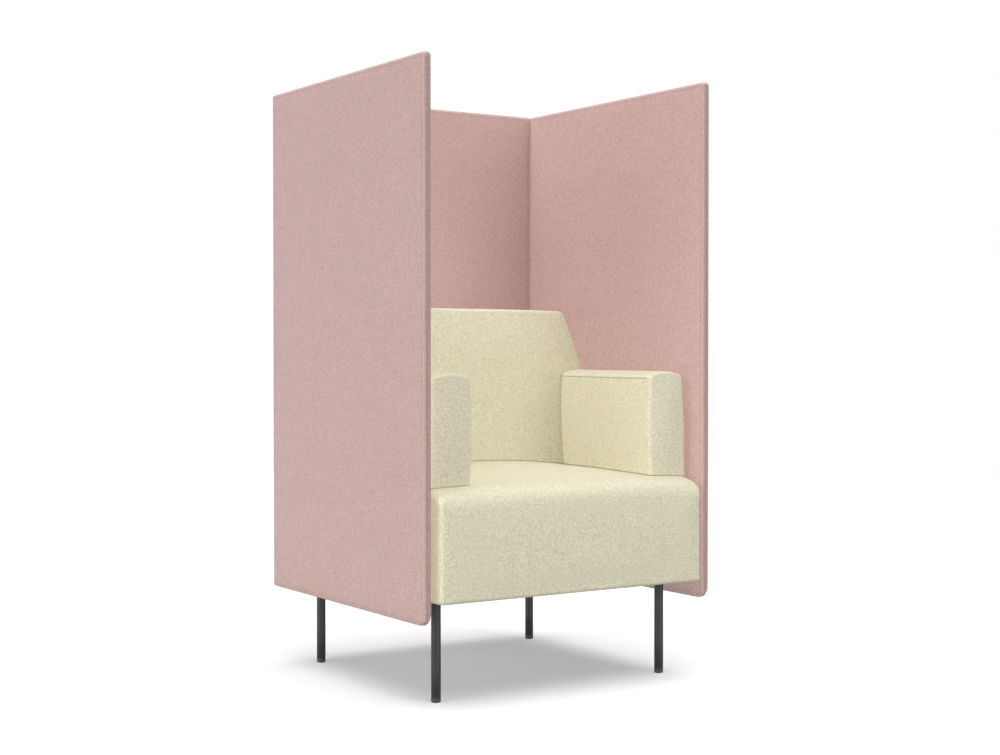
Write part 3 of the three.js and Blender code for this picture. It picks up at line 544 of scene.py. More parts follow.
def back_mesh():
    half_x = back_half
    half_y = (back_rear - back_front) / 2
    height = BACK_TOP - SEAT_TOP - SEAT_RISE - CLEARANCE
    outline = Outline(edge_lines(half_x, MESH_STEP), edge_lines(half_y, MESH_STEP), CORNER_STEPS)
    walls = spread(0, 1, MESH_STEP / height)[1:-1]
    strip = BACK_ROLL + MESH_STEP
    rows = block_rows(height, BACK_BASE, BACK_ROLL, strip, CAP_CORNER, BACK_EDGE, walls)
    points, faces = block_mesh(outline, half_x, half_y, rows)
    x, y, z = points.T
    share = z / height
    shrink = (half_x - BACK_TOP_WIDTH / 2) * np.maximum(0, share) ** BACK_TAPER_POWER
    placed_x = x * (half_x - shrink) / half_x
    behind = (y + half_y) / (2 * half_y)
    bulge = BACK_FRONT_BULGE * dome(x / arm_inner) * dome(2 * share - 1)
    front_shift = BACK_FRONT_LEAN * share ** 2 - bulge
    placed_y = back_front + y + half_y - BACK_REAR_LEAN * share * behind + front_shift * (1 - behind)
    foot = seat_surface(placed_x, back_front) + CLEARANCE
    crown = BACK_TOP_CROWN * dome(x / half_x) * share
    return np.column_stack([placed_x, placed_y, foot + (BACK_TOP - foot) * share + crown]), faces, None


# Cloth that swells over its foam, simulated on an even copy of the block

def even_copy(piece):
    copy = piece.copy()
    copy.data = piece.data.copy()
    bpy.context.scene.collection.objects.link(copy)
    remesh = copy.modifiers.new("even", "REMESH")
    remesh.mode = "VOXEL"
    remesh.voxel_size = VOXEL
    graph = bpy.context.evaluated_depsgraph_get()
    mesh = bpy.data.meshes.new_from_object(copy.evaluated_get(graph))
    bpy.data.objects.remove(copy)
    proxy = bpy.data.objects.new("proxy", mesh)
    bpy.context.scene.collection.objects.link(proxy)
    return proxy


def smoothed_over(mesh, values, passes):
    edges = np.empty(len(mesh.edges) * 2, dtype=np.int32)
    mesh.edges.foreach_get("vertices", edges)
    first, second = edges.reshape(-1, 2).T
    count = np.bincount(first, minlength=len(values)) + np.bincount(second, minlength=len(values))
    for _ in range(passes):
        total = np.zeros_like(values)
        np.add.at(total, first, values[second])
        np.add.at(total, second, values[first])
        values = 0.5 * values + 0.5 * total / count[:, None]
    return values


def simulated_swelling(piece, held, most):
    """How far each point of a block moves when its cloth swells; held says where it can't."""
    proxy = even_copy(piece)
    rest = points_of(proxy.data)
    weights = held(rest)
    group = proxy.vertex_groups.new(name="held")
    for index in np.nonzero(weights > 0.01)[0]:
        group.add([int(index)], float(weights[index]), "REPLACE")
    cloth = proxy.modifiers.new("cloth", "CLOTH")
    settings = cloth.settings
    settings.quality = 4
    settings.mass = 0.3
    settings.tension_stiffness = 20
    settings.compression_stiffness = 20
    settings.shear_stiffness = 8
    settings.bending_stiffness = 0.6
    settings.use_pressure = True
    settings.uniform_pressure_force = CLOTH_PRESSURE
    settings.vertex_group_mass = "held"
    settings.effector_weights.gravity = 0
    cloth.collision_settings.use_collision = False
    cloth.point_cache.frame_start = 1
    cloth.point_cache.frame_end = CLOTH_FRAMES
    scene = bpy.context.scene
    for step in range(1, CLOTH_FRAMES + 1):
        scene.frame_set(step)
    graph = bpy.context.evaluated_depsgraph_get()
    swollen = proxy.evaluated_get(graph).to_mesh()
    moved = points_of(swollen) - rest
    moved = smoothed_over(proxy.data, moved, SWELL_PASSES)
    size = np.linalg.norm(moved, axis=1)
    moved *= most / max(np.percentile(size, 98), 1e-9)
    size = np.linalg.norm(moved, axis=1)
    moved *= (np.tanh(size / most) * most / np.maximum(size, 1e-12))[:, None]
    polygons = [tuple(polygon.vertices) for polygon in proxy.data.polygons]
    tree = BVHTree.FromPolygons(rest.tolist(), polygons)
    result = np.zeros((len(piece.data.vertices), 3))
    for index, point in enumerate(points_of(piece.data)):
        nearest = tree.find_nearest(Vector(point))
        corners = list(polygons[nearest[2]])
        distance = np.linalg.norm(rest[corners] - point, axis=1) + 1e-5
        share = 1 / distance
        result[index] = (moved[corners] * share[:, None]).sum(axis=0) / share.sum()
    bpy.data.objects.remove(proxy)
    scene.frame_set(1)
    return smoothed_over(piece.data, result, SETTLE_PASSES)


def upholstered(name, built, held, most, seed):
    """A block in its cloth: drawn in a little, swollen by the simulation, then sewn."""
    points, faces, seams = built
    piece = make_object(name, points, faces, cream_cloth)
    normals = normals_of(piece.data)
    free = (1 - held(points))[:, None]
    across = points[:, 0] + 0.6 * points[:, 1]
    uneven = CLOTH_RIPPLE * ripple(seed, across, points[:, 2], *CLOTH_RIPPLE_LENGTHS)
    offset = (uneven - CLOTH_SHRINK)[:, None] * normals
    offset = offset + simulated_swelling(piece, held, most)
    points = points + offset * free
    set_points(piece.data, points)
    if seams is not None:
        # The seam's darker line, partly painted shade in its groove, goes into the seam attribute
        sewn, dark = seams
        set_points(piece.data, points + groove(sewn)[:, None] * normals_of(piece.data))
        mark_seams_and_painted_shade(piece, dark)
    return piece


def mirrored_copy(piece, name):
    """The same piece on the other side of the chair."""
    points = points_of(piece.data) * (-1, 1, 1)
    faces = [tuple(reversed(polygon.vertices)) for polygon in piece.data.polygons]
    copy = make_object(name, points, faces, piece.data.materials[0])
    values = np.empty(len(points))
    piece.data.attributes["seam"].data.foreach_get("value", values)
    store_seam_painted_shade(copy, values)
    return copy


# Where each block rests on another, so that its cloth can't swell there

def over_band(value, place, band):
    """0 to 1 as a value passes through a band about a place."""
    return smooth_step(value, place + band[0], place + band[1])


def seat_held(points):
    x, y, z = points.T
    under_arm = over_band(np.abs(x), arm_inner, HELD_UNDER_ARM_SIDE)
    under_arm *= over_band(y, arm_front, HELD_UNDER_ARM_FRONT)
    under_back = over_band(y, back_front, HELD_UNDER_BACK)
    top = smooth_step(z - seat_surface(x, y), *HELD_SEAT_TOP)
    foot = 1 - over_band(z, seat_foot, HELD_SEAT_FOOT)
    rear = over_band(y, seat_rear, HELD_SEAT_REAR)
    return np.maximum.reduce([np.maximum(under_arm, under_back) * top, foot, rear])


def on_seat(x, y, z):
    return 1 - smooth_step(z - seat_surface(x, y), *HELD_ON_SEAT)


def arm_held(points):
    x, y, z = points.T
    return np.maximum(on_seat(x, y, z), over_band(y, arm_rear, HELD_ARM_REAR))


def back_held(points):
    x, y, z = points.T
    beside_arm = over_band(np.abs(x), arm_inner, HELD_BACK_SIDE)
    beside_arm *= 1 - over_band(z, ARM_TOP, HELD_BACK_BELOW_ARM_TOP)
    beside_arm *= 1 - over_band(y, back_front, HELD_BACK_FRONT)
    return np.maximum(on_seat(x, y, z), beside_arm)


# Material helpers

def feed(tree, socket, value):
    """Gives an input its value, or links it where the value is another node's output."""
    if isinstance(value, bpy.types.NodeSocket):
        tree.links.new(value, socket)
    else:
        socket.default_value = value


def fill(tree, node, values):
    """Feeds a node's inputs by their names."""
    for name, value in values.items():
        feed(tree, node.inputs[name.replace("_", " ")], value)


class Paint:
    """A material's node tree, with short ways to add nodes."""

    def __init__(self, name):
        self.material = bpy.data.materials.new(name)
        self.material.use_nodes = True
        self.tree = self.material.node_tree
        self.shader = self.tree.nodes["Principled BSDF"]
        self.output = self.tree.nodes["Material Output"]
        place = self.tree.nodes.new("ShaderNodeTexCoord")
        self.object = place.outputs["Object"]
        self.normal = place.outputs["Normal"]

    def add(self, kind, **values):
        node = self.tree.nodes.new("ShaderNode" + kind)
        fill(self.tree, node, values)
        return node

    def set(self, **values):
        fill(self.tree, self.shader, values)

    def noise(self, scale, detail=2.0, stretch=(1, 1, 1)):
        stretched = self.add("VectorMath")
        stretched.operation = "MULTIPLY"
        stretched.inputs[1].default_value = stretch
        self.tree.links.new(self.object, stretched.inputs[0])
        vector = stretched.outputs[0]
        return self.add("TexNoise", Scale=scale, Detail=detail, Vector=vector).outputs["Fac"]

    def attribute(self, name):
        node = self.add("Attribute")
        node.attribute_name = name
        return node.outputs["Fac"]

    def math(self, operation, *values):
        return math_node(self.tree, operation, *values)

    def tinted(self, colour, factor):
        """The colour, lighter and darker by a factor about 1."""
        node = self.add("VectorMath")
        node.operation = "SCALE"
        self.tree.links.new(colour, node.inputs[0])
        fill(self.tree, node, {"Scale": factor})
        return node.outputs[0]

    def mix(self, factor, first, second):
        node = self.add("Mix")
        node.data_type = "RGBA"
        fill(self.tree, node, {"Factor": factor, "A": (*first, 1), "B": (*second, 1)})
        return node.outputs["Result"]

    def bump(self, height, distance):
        node = self.add("Bump", Strength=1.0, Distance=distance, Height=height)
        self.set(Normal=node.outputs["Normal"])


def math_node(tree, operation, *values):
    node = tree.nodes.new("ShaderNodeMath")
    node.operation = operation
    for socket, value in zip(node.inputs, values):
        feed(tree, socket, value)
    return node.outputs[0]


def weave_group():
    """A plain weave over two directions: rounded threads that pass over and under each other."""
    tree = bpy.data.node_groups.new("plain_weave", "ShaderNodeTree")
    for name, way in (("Across", "INPUT"), ("Along", "INPUT"), ("Height", "OUTPUT")):
        tree.interface.new_socket(name, in_out=way, socket_type="NodeSocketFloat")
    inputs = tree.nodes.new("NodeGroupInput")
    outputs = tree.nodes.new("NodeGroupOutput")

    def worked(operation, *values):
        return math_node(tree, operation, *values)

    turns = math.pi / THREAD_PITCH
    across = worked("SINE", worked("MULTIPLY", inputs.outputs["Across"], turns))
    along = worked("SINE", worked("MULTIPLY", inputs.outputs["Along"], turns))
    wide, long = worked("ABSOLUTE", across), worked("ABSOLUTE", along)
    warp = worked("MULTIPLY", wide, worked("POWER", long, THREAD_FLATNESS))
    weft = worked("MULTIPLY", long, worked("POWER", wide, THREAD_FLATNESS))
    over = worked("GREATER_THAN", worked("MULTIPLY", across, along), 0.0)
    under = worked("SUBTRACT", 1.0, over)
    height = worked("ADD", worked("MULTIPLY", warp, over), worked("MULTIPLY", weft, under))
    tree.links.new(height, outputs.inputs["Height"])
    return tree


weave_tree = weave_group()


def woven_height(paint):
    """The weave on whichever way a surface faces, blended where it turns."""
    place = paint.add("SeparateXYZ", Vector=paint.object)
    facing = paint.add("SeparateXYZ", Vector=paint.normal)
    x, y, z = place.outputs
    total, weights = None, None
    for axis, (across, along) in enumerate([(y, z), (x, z), (x, y)]):
        node = paint.add("Group")
        node.node_tree = weave_tree
        fill(paint.tree, node, {"Across": across, "Along": along})
        weight = paint.math("POWER", paint.math("ABSOLUTE", facing.outputs[axis]), 6.0)
        share = paint.math("MULTIPLY", node.outputs["Height"], weight)
        total = share if total is None else paint.math("ADD", total, share)
        weights = weight if weights is None else paint.math("ADD", weights, weight)
    return paint.math("DIVIDE", total, weights)


def cloth_material(name, colour):
    """Woven cloth: crossing threads, a melange of warmer, cooler, lighter and darker yarn."""
    paint = Paint(name)
    height = woven_height(paint)
    fleck = paint.noise(FLECK_SCALE, 0)
    weft = paint.noise(1, 1, (THREADS_LONG, THREADS_LONG, THREADS_FINE))
    warp = paint.noise(1, 1, (THREADS_FINE, THREADS_FINE, THREADS_LONG))
    cloud = paint.noise(CLOUD_SCALE, 1)
    threads = paint.math("ADD", weft, warp)
    tint = 1.0
    layers = [(fleck, 0.5, FLECK_CONTRAST), (threads, 1.0, THREADS_CONTRAST)]
    layers += [(height, WEAVE_MIDDLE, WEAVE_CONTRAST), (cloud, 0.5, CLOUD_CONTRAST)]
    for field, middle, contrast in layers:
        tint = paint.math("MULTIPLY_ADD", paint.math("SUBTRACT", field, middle), contrast, tint)
    # The seam attribute darkens the cloth: the seams' own darker lines, partly painted shade in their
    # grooves, and painted shade on the upright panel rims
    seam = paint.attribute("seam")
    tint = paint.math("MULTIPLY", tint, paint.math("MULTIPLY_ADD", seam, -SEAM_PAINTED_SHADE, 1.0))
    red, green, blue = colour
    cooler = (red * (1 - YARN_HUE), green, blue * (1 + YARN_HUE))
    warmer = (red * (1 + YARN_HUE), green, blue * (1 - YARN_HUE))
    yarn = paint.mix(paint.noise(YARN_SCALE, 1), cooler, warmer)
    paint.bump(paint.math("MULTIPLY_ADD", fleck, 0.5, height), WEAVE_BUMP)
    paint.set(Base_Color=paint.tinted(yarn, tint), Roughness=0.92, Specular_IOR_Level=0.25)
    paint.set(Sheen_Weight=0.12, Sheen_Roughness=0.5)
    return paint.material


def moulded_material(name, patch, low, high, grain, rough, relief):
    """A hard black finish: patches of two tones, and a fine grain that dulls it here and there."""
    paint = Paint(name)
    grain = paint.noise(*grain)
    paint.set(Base_Color=paint.mix(paint.noise(patch), low, high))
    paint.set(Roughness=paint.math("MULTIPLY_ADD", grain, *rough))
    paint.bump(grain, relief)
    return paint


def zinc_material():
    """Bright zinc plate, faintly clouded and brushed by handling."""
    paint = Paint("bright_zinc")
    cloud = paint.noise(70, 3)
    paint.set(Base_Color=paint.mix(cloud, (0.50, 0.51, 0.53), (0.66, 0.67, 0.69)))
    paint.set(Roughness=paint.math("MULTIPLY_ADD", cloud, 0.2, 0.22), Metallic=1.0)
    paint.bump(paint.noise(1, 1, (2500, 300, 300)), 0.00003)
    return paint.material


def grained_material(name, grain, low, high, relief, roughness):
    """A dull material whose grain or fibre shows in its colour and its relief."""
    paint = Paint(name)
    grain = paint.noise(*grain)
    paint.set(Base_Color=paint.mix(grain, low, high), Roughness=roughness)
    paint.bump(grain, relief)
    return paint.material


cream_cloth = cloth_material("cream_cloth", CREAM)
pink_cloth = cloth_material("pink_cloth", PINK)
zinc = zinc_material()

# Satin powder coat with its orange peel, and nylon with a spark texture
coat_tones = (0.012, 0.012, 0.013), (0.020, 0.020, 0.021)
coat = moulded_material("black_powder_coat", 60, *coat_tones, (900, 2), (0.12, 0.34), 0.00005)
coat.set(Specular_IOR_Level=0.35)
powder_coat = coat.material
nylon_tones = (0.008, 0.008, 0.009), (0.014, 0.014, 0.014)
nylon = moulded_material("black_nylon", 80, *nylon_tones, (1500, 1), (0.15, 0.45), 0.00004).material

# Raw birch plywood, ribbed elastic webbing and matted non-woven cloth
ply_tones = (0.50, 0.34, 0.18), (0.70, 0.52, 0.31)
plywood = grained_material("birch_plywood", (1, 4, (14, 90, 14)), *ply_tones, 0.0002, 0.75)
rib_tones = (0.03, 0.03, 0.028), (0.10, 0.095, 0.09)
elastic = grained_material("elastic_webbing", (1, 1, (700, 20, 20)), *rib_tones, 0.0004, 0.9)
fibre_tones = (0.006, 0.006, 0.006), (0.022, 0.022, 0.022)
non_woven = grained_material("non_woven_cloth", (260, 6), *fibre_tones, 0.0003, 0.95)


def placed(piece, body, slot, *nodes):
    """Rides a piece on its body and hides the frame's parts that it stands for; its slot is not used.
    """
    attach(piece, body)
    if nodes:
        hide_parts(*nodes)
    return piece


def padded(piece, slot, *nodes):
    """Places a padded piece on the chair."""
    placed(piece, "chair", slot, *nodes)


# The padded blocks

def add_cushions():
    seat = upholstered("seat_cushion", seat_mesh(), seat_held, SEAT_SWELL, 3)
    padded(seat, "cream_fabric", "seat_cover", "seat_foam")
    right = upholstered("arm_right", arm_mesh(), arm_held, ARM_SWELL, 5)
    padded(right, "cream_fabric", "arm_cover_right", "arm_foam_right")
    left = mirrored_copy(right, "arm_left")
    padded(left, "cream_fabric", "arm_cover_left", "arm_foam_left")
    back = upholstered("back_cushion", back_mesh(), back_held, BACK_SWELL, 7)
    padded(back, "cream_fabric", "back_cover", "back_foam")


# The screen

RIM_SHARES = (0, 0.045, 0.09, 0.15, 0.22, 0.32, 0.44, 0.56, 0.67, 0.77, 0.85, 0.91, 0.96, 0.99, 1)
PILLOW_SHARES = (0.12, 0.28, 0.5, 0.75, 1)


def panel_mesh(half_along, half_up, thickness, radii, seed):
    """A panel in its own plane: radii are its corners', anticlockwise from the lower left one."""
    lines_along = edge_lines(half_along, PANEL_STEP)
    lines_up = edge_lines(half_up, PANEL_STEP)
    outline = Outline(lines_along, lines_up, CORNER_STEPS)
    corner = corner_radii(outline, radii)
    half = thickness / 2
    rim_half = half - PANEL_PILLOW
    flat_corner = PANEL_PILLOW_REACH / 2
    upper = []
    for share in RIM_SHARES:
        drawn = PANEL_RIM * (1 - max(0.0, 1 - share ** PANEL_RIM_POWER) ** (1 / PANEL_RIM_POWER))
        height = rim_half * share
        inset = drawn - float(groove(np.array(height), PANEL_SEAM_DEPTH))
        upper.append((inset, height, np.maximum(corner - inset, CORNER_LEAST)))
    reach = PANEL_PILLOW_REACH - PANEL_RIM
    for share in PILLOW_SHARES:
        inset = PANEL_RIM + reach * share
        height = rim_half + PANEL_PILLOW * (1 - (1 - share) ** 2)
        blended = (1 - share) * np.maximum(corner - PANEL_RIM, CORNER_LEAST) + share * flat_corner
        upper.append((inset, height, blended if share < 1 else flat_corner))
    lower = [(inset, -height, radius) for inset, height, radius in reversed(upper[1:])]
    points, faces = block_mesh(outline, half_along, half_up, lower + upper)
    along, up, through = points.T
    uneven = PANEL_RIPPLE * ripple(seed, along, up, *PANEL_RIPPLE_LENGTHS)
    inside = np.minimum(half_along - np.abs(along), half_up - np.abs(up))
    calm = smooth_step(inside, 0, PANEL_CALM)
    return np.column_stack([along, up, through - np.abs(uneven) * calm * np.sign(through)]), faces


def corner_radii(outline, radii):
    """The radius at each station: its corner's own, blended along the sides between corners."""
    lower_left, lower_right, upper_right, upper_left = radii
    right = (outline.share_x + 1) / 2
    up = (outline.share_y + 1) / 2
    lower = lower_left + (lower_right - lower_left) * right
    upper = upper_left + (upper_right - upper_left) * right
    return lower + (upper - lower) * up


def rim_seams_and_painted_shade(along, up, through, half_along, half_up):
    """Distances from the seams round and beside the rim, and the painted shade of the upright rims."""
    past = half_along - np.abs(along)
    inside = np.minimum(past, half_up - np.abs(up))
    on_face = inside > PANEL_RIM
    middle = np.where(on_face, 1.0, np.abs(through))
    border = np.where(on_face, np.abs(inside - PANEL_BORDER_SEAM), 1.0)
    # The upright front and rear rims get painted shade; the top and bottom rims, which catch the light
    # from above, get none
    return np.minimum(middle, border), RIM_PAINTED_SHADE * (1 - smooth_step(past, *RIM_PAINTED_SHADE_ENDS))


def add_panel(side, points, faces, seams):
    panel = make_object(f"screen_panel_{side}", points, faces, pink_cloth)
    # The seam attribute carries the seams' darker lines and the upright rims' painted shade
    mark_seams_and_painted_shade(panel, *seams)
    padded(panel, "pink_fabric", f"panel_{side}_cover")


def add_panels():
    middle, half = node_middle("panel_right_cover")
    radii = (PANEL_BOTTOM_FRONT, PANEL_REAR, PANEL_REAR, PANEL_TOP_FRONT)
    for seed, side, sign in ((11, "right", 1), (13, "left", -1)):
        points, faces = panel_mesh(half[1], half[2], 2 * half[0], radii, seed)
        along, up, through = points.T
        world = np.column_stack([sign * (middle[0] + through), middle[1] + along, middle[2] + up])
        if sign < 0:
            faces = [tuple(reversed(face)) for face in faces]
        add_panel(side, world, faces, rim_seams_and_painted_shade(along, up, through, half[1], half[2]))
    middle, half = node_middle("panel_back_cover")
    points, faces = panel_mesh(half[0], half[2], 2 * half[1], (PANEL_REAR,) * 4, 17)
    along, up, through = points.T
    world = np.column_stack([middle[0] + along, middle[1] - through, middle[2] + up])
    add_panel("back", world, faces, rim_seams_and_painted_shade(along, up, through, half[0], half[2]))


# Turned and small parts

def turned(profile, sides, place=(0, 0, 0)):
    """A body turned about a vertical axis: profile is (radius, height) from its foot up.

    A radius of 0 closes an end; a profile that starts and ends alike closes on itself."""
    looped = profile[0] == profile[-1]
    rings = profile[:-1] if looped else profile
    points, faces, starts = [], [], []
    for radius, height in rings:
        starts.append((len(points), radius))
        if radius == 0:
            points.append((0, 0, height))
            continue
        for side in range(sides):
            angle = 2 * math.pi * side / sides
            points.append((radius * math.cos(angle), radius * math.sin(angle), height))
    pairs = list(zip(starts, starts[1:] + starts[:1] if looped else starts[1:]))
    for (low, low_radius), (high, high_radius) in pairs:
        for side in range(sides):
            after = (side + 1) % sides
            if low_radius == 0:
                faces.append((low, high + after, high + side))
            elif high_radius == 0:
                faces.append((low + side, low + after, high))
            else:
                faces.append((low + side, low + after, high + after, high + side))
    return np.array(points) + np.array(place), faces


def joined(parts):
    points, faces, start = [], [], 0
    for part_points, part_faces in parts:
        points.append(part_points)
        faces += [shifted(face, start) for face in part_faces]
        start += len(part_points)
    return np.vstack(points), faces


def small_block(size, radius, edge, place):
    """A small block with round corners and eased edges, standing on its place."""
    half_x, half_y = size[0] / 2, size[1] / 2
    outline = Outline(np.array([0.0]), np.array([0.0]), 5)
    rows = [(edge + radius / 2, 0, radius / 2), (edge, 0, radius - edge), (0, edge, radius)]
    rows += [(0, size[2] - edge, radius), (edge, size[2], radius - edge)]
    rows.append((edge + radius / 2, size[2], radius / 2))
    points, faces = block_mesh(outline, half_x, half_y, rows)
    return points + np.array(place), faces


def leg_mesh(x, y, foot, top):
    flange_foot = top - LEG_PLATE[2]
    chamfer = LEG_CHAMFER
    bore = LEG_RADIUS - LEG_WALL
    profile = [(bore, foot + chamfer), (bore + chamfer, foot), (LEG_RADIUS - chamfer, foot)]
    profile.append((LEG_RADIUS, foot + chamfer))
    profile += [(LEG_RADIUS, foot + (flange_foot - foot) * share) for share in (0.25, 0.5, 0.75)]
    for step in range(5):
        angle = math.pi / 2 * step / 4
        radius = LEG_RADIUS + LEG_WELD * (1 - math.cos(angle))
        profile.append((radius, flange_foot - LEG_WELD * (1 - math.sin(angle))))
    seated = flange_foot + LEG_SEAT
    profile += [(LEG_RADIUS + LEG_WELD, seated), (bore, seated)]
    profile.append(profile[0])
    tube = turned(profile, 48, (x, y, 0))
    flange = small_block(LEG_PLATE, LEG_PLATE_CORNER, LEG_PLATE_EDGE, (x, y, flange_foot))
    return joined([tube, flange])


def glide_mesh(x, y, low, high, top):
    """The foot with its fine ring line, and the stem that turns in the leg."""
    radius, step_up = LEG_RADIUS, GLIDE_LINE_STEP
    profile = [(0, low), (radius - GLIDE_ROUND - GLIDE_FLAT, low)]
    for step in range(7):
        angle = math.pi / 2 * step / 6
        reach = radius - GLIDE_ROUND + GLIDE_ROUND * math.sin(angle)
        profile.append((reach, low + GLIDE_ROUND * (1 - math.cos(angle))))
    line, drawn = low + GLIDE_LINE_HEIGHT, radius - GLIDE_LINE_DEPTH
    profile += [(radius, line - step_up), (drawn, line), (drawn, line + step_up)]
    profile += [(radius, line + 2 * step_up), (radius, top - GLIDE_EDGE), (radius - GLIDE_EDGE, top)]
    profile += [(GLIDE_STEM_RADIUS, top), (GLIDE_STEM_RADIUS, high - GLIDE_STEM_TIP)]
    profile += [(GLIDE_STEM_RADIUS - GLIDE_STEM_TIP, high), (0, high)]
    return turned(profile, 48, (x, y, 0))


def screw_mesh(x, y, top):
    """A pan head screw seen from below, with a cross recess suggested by a dished middle."""
    radius, height = SCREW_HEAD_RADIUS, SCREW_HEAD_HEIGHT
    shares = ((0, 0.55), (0.22, 0.6), (0.34, 0.96), (0.6, 1), (0.85, 0.8), (1, 0.35), (1, 0), (0, 0))
    profile = [(radius * out, top - height * down) for out, down in shares]
    return turned(profile, 20, (x, y, 0))


def add_legs():
    for corner in ("front_left", "front_right", "rear_left", "rear_right"):
        low, high = node_box(f"leg_{corner}")
        x, y = node_middle(f"leg_{corner}")[0][:2]
        leg = make_object(f"steel_leg_{corner}", *leg_mesh(x, y, low[2], high[2]), powder_coat)
        placed(leg, "chair", "black_steel", f"leg_{corner}")
        screws = []
        for sign_x in (-1, 1):
            for sign_y in (-1, 1):
                screw_x = x + sign_x * (LEG_PLATE[0] / 2 - LEG_SCREW_MARGIN)
                screw_y = y + sign_y * (LEG_PLATE[1] / 2 - LEG_SCREW_MARGIN)
                screws.append(screw_mesh(screw_x, screw_y, high[2] - LEG_PLATE[2] + SCREW_SEAT))
        heads = make_object(f"leg_screws_{corner}", *joined(screws), zinc)
        placed(heads, "chair", "zinc_steel")
        glide_low, glide_high = node_box(f"glide_{corner}")
        top = low[2] - CLEARANCE
        shape = glide_mesh(x, y, glide_low[2], glide_high[2], top)
        glide = make_object(f"levelling_foot_{corner}", *shape, nylon)
        placed(glide, f"glide_{corner}", "black_plastic", f"glide_{corner}")


def spacer_mesh(low, high, axis):
    """A chamfered sleeve between the frame and the screen, along one of the chair's axes."""
    middle, size = (low + high) / 2, high - low
    radius, length = size[2] / 2, size[axis]
    edge = SPACER_CHAMFER
    profile = [(SPACER_BORE, 0), (radius - edge, 0), (radius, edge), (radius, length - edge)]
    profile += [(radius - edge, length), (SPACER_BORE, length), (SPACER_BORE, 0)]
    points, faces = turned(profile, 40)
    points[:, 2] -= length / 2
    turn = (2, 0, 1) if axis == 0 else (1, 2, 0)
    return points[:, turn] + middle, faces


def add_spacers():
    sides = [(f"{side}_{end}", 0) for side in ("left", "right") for end in ("front", "rear")]
    for place, axis in sides + [("back_left", 1), ("back_right", 1)]:
        low, high = node_box(f"panel_spacer_{place}")
        sleeve = make_object(f"spacer_{place}", *spacer_mesh(low, high, axis), zinc)
        placed(sleeve, "chair", "zinc_steel", f"panel_spacer_{place}")


# The underside

def base_cloth_mesh(low, high):
    """A thin stretched sheet with a faint ripple, closed round its edge."""
    x = spread(low[0], high[0], SHEET_STEP)
    y = spread(low[1], high[1], SHEET_STEP)
    grid_x, grid_y = (field.ravel() for field in np.meshgrid(x, y))
    middle = (low[2] + high[2]) / 2
    uneven = SHEET_RIPPLE * ripple(23, grid_x, grid_y, *SHEET_RIPPLE_LENGTHS)
    upper = np.column_stack([grid_x, grid_y, middle + SHEET_HALF + uneven])
    lower = np.column_stack([grid_x, grid_y, middle - SHEET_HALF + uneven])
    columns, rows, count = len(x), len(y), len(grid_x)
    faces = []
    for quad in grid_faces(columns, rows):
        faces += [quad, shifted(quad, count, True)]
    index = np.arange(count).reshape(rows, columns)
    edge = [*index[0], *index[1:, -1], *index[-1, -2::-1], *index[-2:0:-1, 0]]
    for here, there in zip(edge, edge[1:] + edge[:1]):
        faces.append((here + count, there + count, there, here))
    return np.vstack([upper, lower]), faces


def staple_mesh(x, y, z, across):
    length, width = (STAPLE_LENGTH, STAPLE_WIRE) if across else (STAPLE_WIRE, STAPLE_LENGTH)
    size = (length, width, STAPLE_WIRE)
    return small_block(size, STAPLE_WIRE / 2.2, STAPLE_WIRE / 5, (x, y, z - STAPLE_WIRE))


def add_underside():
    low, high = node_box("base_cloth")
    cloth = make_object("base_sheet", *base_cloth_mesh(low, high), non_woven)
    placed(cloth, "chair", "dust_cloth", "base_cloth")
    level = (low[2] + high[2]) / 2
    staples = []
    for y in (low[1] + STAPLE_MARGIN, high[1] - STAPLE_MARGIN):
        for x in spread(low[0] + 2 * STAPLE_MARGIN, high[0] - 2 * STAPLE_MARGIN, STAPLE_PITCH):
            staples.append(staple_mesh(x, y, level, True))
    for x in (low[0] + STAPLE_MARGIN, high[0] - STAPLE_MARGIN):
        for y in spread(low[1] + 3 * STAPLE_MARGIN, high[1] - 3 * STAPLE_MARGIN, STAPLE_PITCH):
            staples.append(staple_mesh(x, y, level, False))
    wires = make_object("base_staples", *joined(staples), zinc)
    placed(wires, "chair", "zinc_steel")


# What stays as the frame has it, in its own finish

def paint_frame():
    boards = ("seat_rail", "corner_block", "arm_board", "back_gable", "lumbar_board")
    boards += ("panel_left_board", "panel_right_board", "panel_back_board")
    metal = ("panel_bolt", "panel_stud")
    finishes = {boards: plywood, ("seat_webbing",): elastic, metal: zinc, ("leg_insert",): nylon}
    for name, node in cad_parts.items():
        for starts, material in finishes.items():
            if name.startswith(starts):
                node.data.materials.clear()
                node.data.materials.append(material)


# Light, floor and camera

def add_camera():
    camera = bpy.data.objects.new("camera", bpy.data.cameras.new("camera"))
    camera.data.sensor_width = SENSOR_WIDTH
    camera.data.sensor_fit = "HORIZONTAL"
    camera.data.lens = SENSOR_WIDTH * FOCAL_PIXELS / PHOTO_WIDTH
    camera.location = CAMERA_PLACE
    camera.rotation_euler = (math.radians(90 - CAMERA_DIP), 0, math.radians(CAMERA_TURN))
    bpy.context.scene.collection.objects.link(camera)
    bpy.context.scene.camera = camera


def seen_directly(tree):
    """1 for rays from the camera, and for those that reflect in metal or pass through glass."""
    path = tree.nodes.new("ShaderNodeLightPath")
    total = math_node(tree, "ADD", path.outputs["Is Camera Ray"], path.outputs["Is Glossy Ray"])
    total = math_node(tree, "ADD", total, path.outputs["Is Transmission Ray"])
    return math_node(tree, "MINIMUM", total, 1.0)


def add_world():
    world = bpy.data.worlds.new("studio")
    bpy.context.scene.world = world
    world.use_nodes = True
    tree = world.node_tree
    background = tree.nodes["Background"]
    background.inputs["Color"].default_value = (1, 1, 1, 1)
    direct = seen_directly(tree)
    strength = math_node(tree, "MULTIPLY_ADD", direct, 1 - AMBIENT, AMBIENT)
    tree.links.new(strength, background.inputs["Strength"])


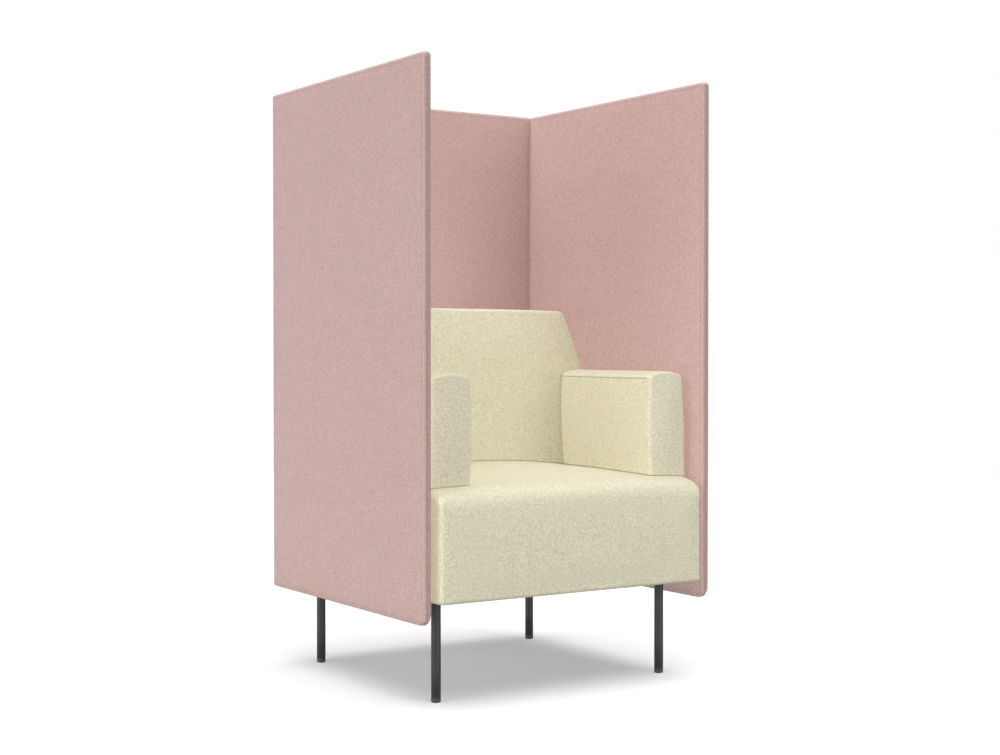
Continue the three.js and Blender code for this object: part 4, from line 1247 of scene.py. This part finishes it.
def add_sun(name, azimuth, elevation, strength, spread_angle, shadow=True):
    """Soft parallel light; azimuth 0 comes from the front, and positive ones from the right."""
    light = bpy.data.lights.new(name, "SUN")
    light.energy = strength
    light.angle = math.radians(spread_angle)
    light.use_shadow = shadow
    sun = bpy.data.objects.new(name, light)
    turn, rise = math.radians(azimuth), math.radians(elevation)
    level = math.cos(rise)
    towards = Vector((math.sin(turn) * level, -math.cos(turn) * level, math.sin(rise)))
    sun.rotation_euler = towards.to_track_quat("Z", "Y").to_euler()
    bpy.context.scene.collection.objects.link(sun)


def add_floor():
    rim = [(FLOOR_RADIUS, -FLOOR_THICK), (FLOOR_RADIUS, 0), (FLOOR_RADIUS - FLOOR_EDGE, 0)]
    shape = turned(rim + [(0, 0)], 96)
    paint = Paint("pale_floor")
    tree = paint.tree
    emission = paint.add("Emission", Color=(1, 1, 1, 1), Strength=FLOOR_GLOW)
    pale = paint.add("BsdfDiffuse", Color=(FLOOR_COLOUR,) * 3 + (1,))
    dim = paint.add("BsdfDiffuse", Color=(FLOOR_BOUNCE,) * 3 + (1,))
    shown = paint.add("MixShader", Fac=FLOOR_SHADE)
    tree.links.new(emission.outputs[0], shown.inputs[1])
    tree.links.new(pale.outputs[0], shown.inputs[2])
    choice = paint.add("MixShader", Fac=seen_directly(tree))
    tree.links.new(dim.outputs[0], choice.inputs[1])
    tree.links.new(shown.outputs[0], choice.inputs[2])
    tree.nodes.remove(paint.shader)
    tree.links.new(choice.outputs[0], paint.output.inputs["Surface"])
    make_object("floor", *shape, paint.material)


add_camera()
add_world()
# Each sun's azimuth, elevation, strength and spread, with the angles in degrees
add_sun("above", 0, 86, 2.97, 75)
add_sun("front", 12, 10, 1.1, 30)
add_sun("front_fill", 0, 10, 0.75, 30, shadow=False)
add_sun("side", -80, 12, 0.8, 30)
add_sun("side_fill", -90, 14, 1.7, 30, shadow=False)
add_sun("rear_fill", 135, 4, 1.5, 30, shadow=False)
add_floor()
add_cushions()
add_panels()
add_legs()
add_spacers()
add_underside()
paint_frame()

bpy.context.scene.view_settings.view_transform = "Standard"
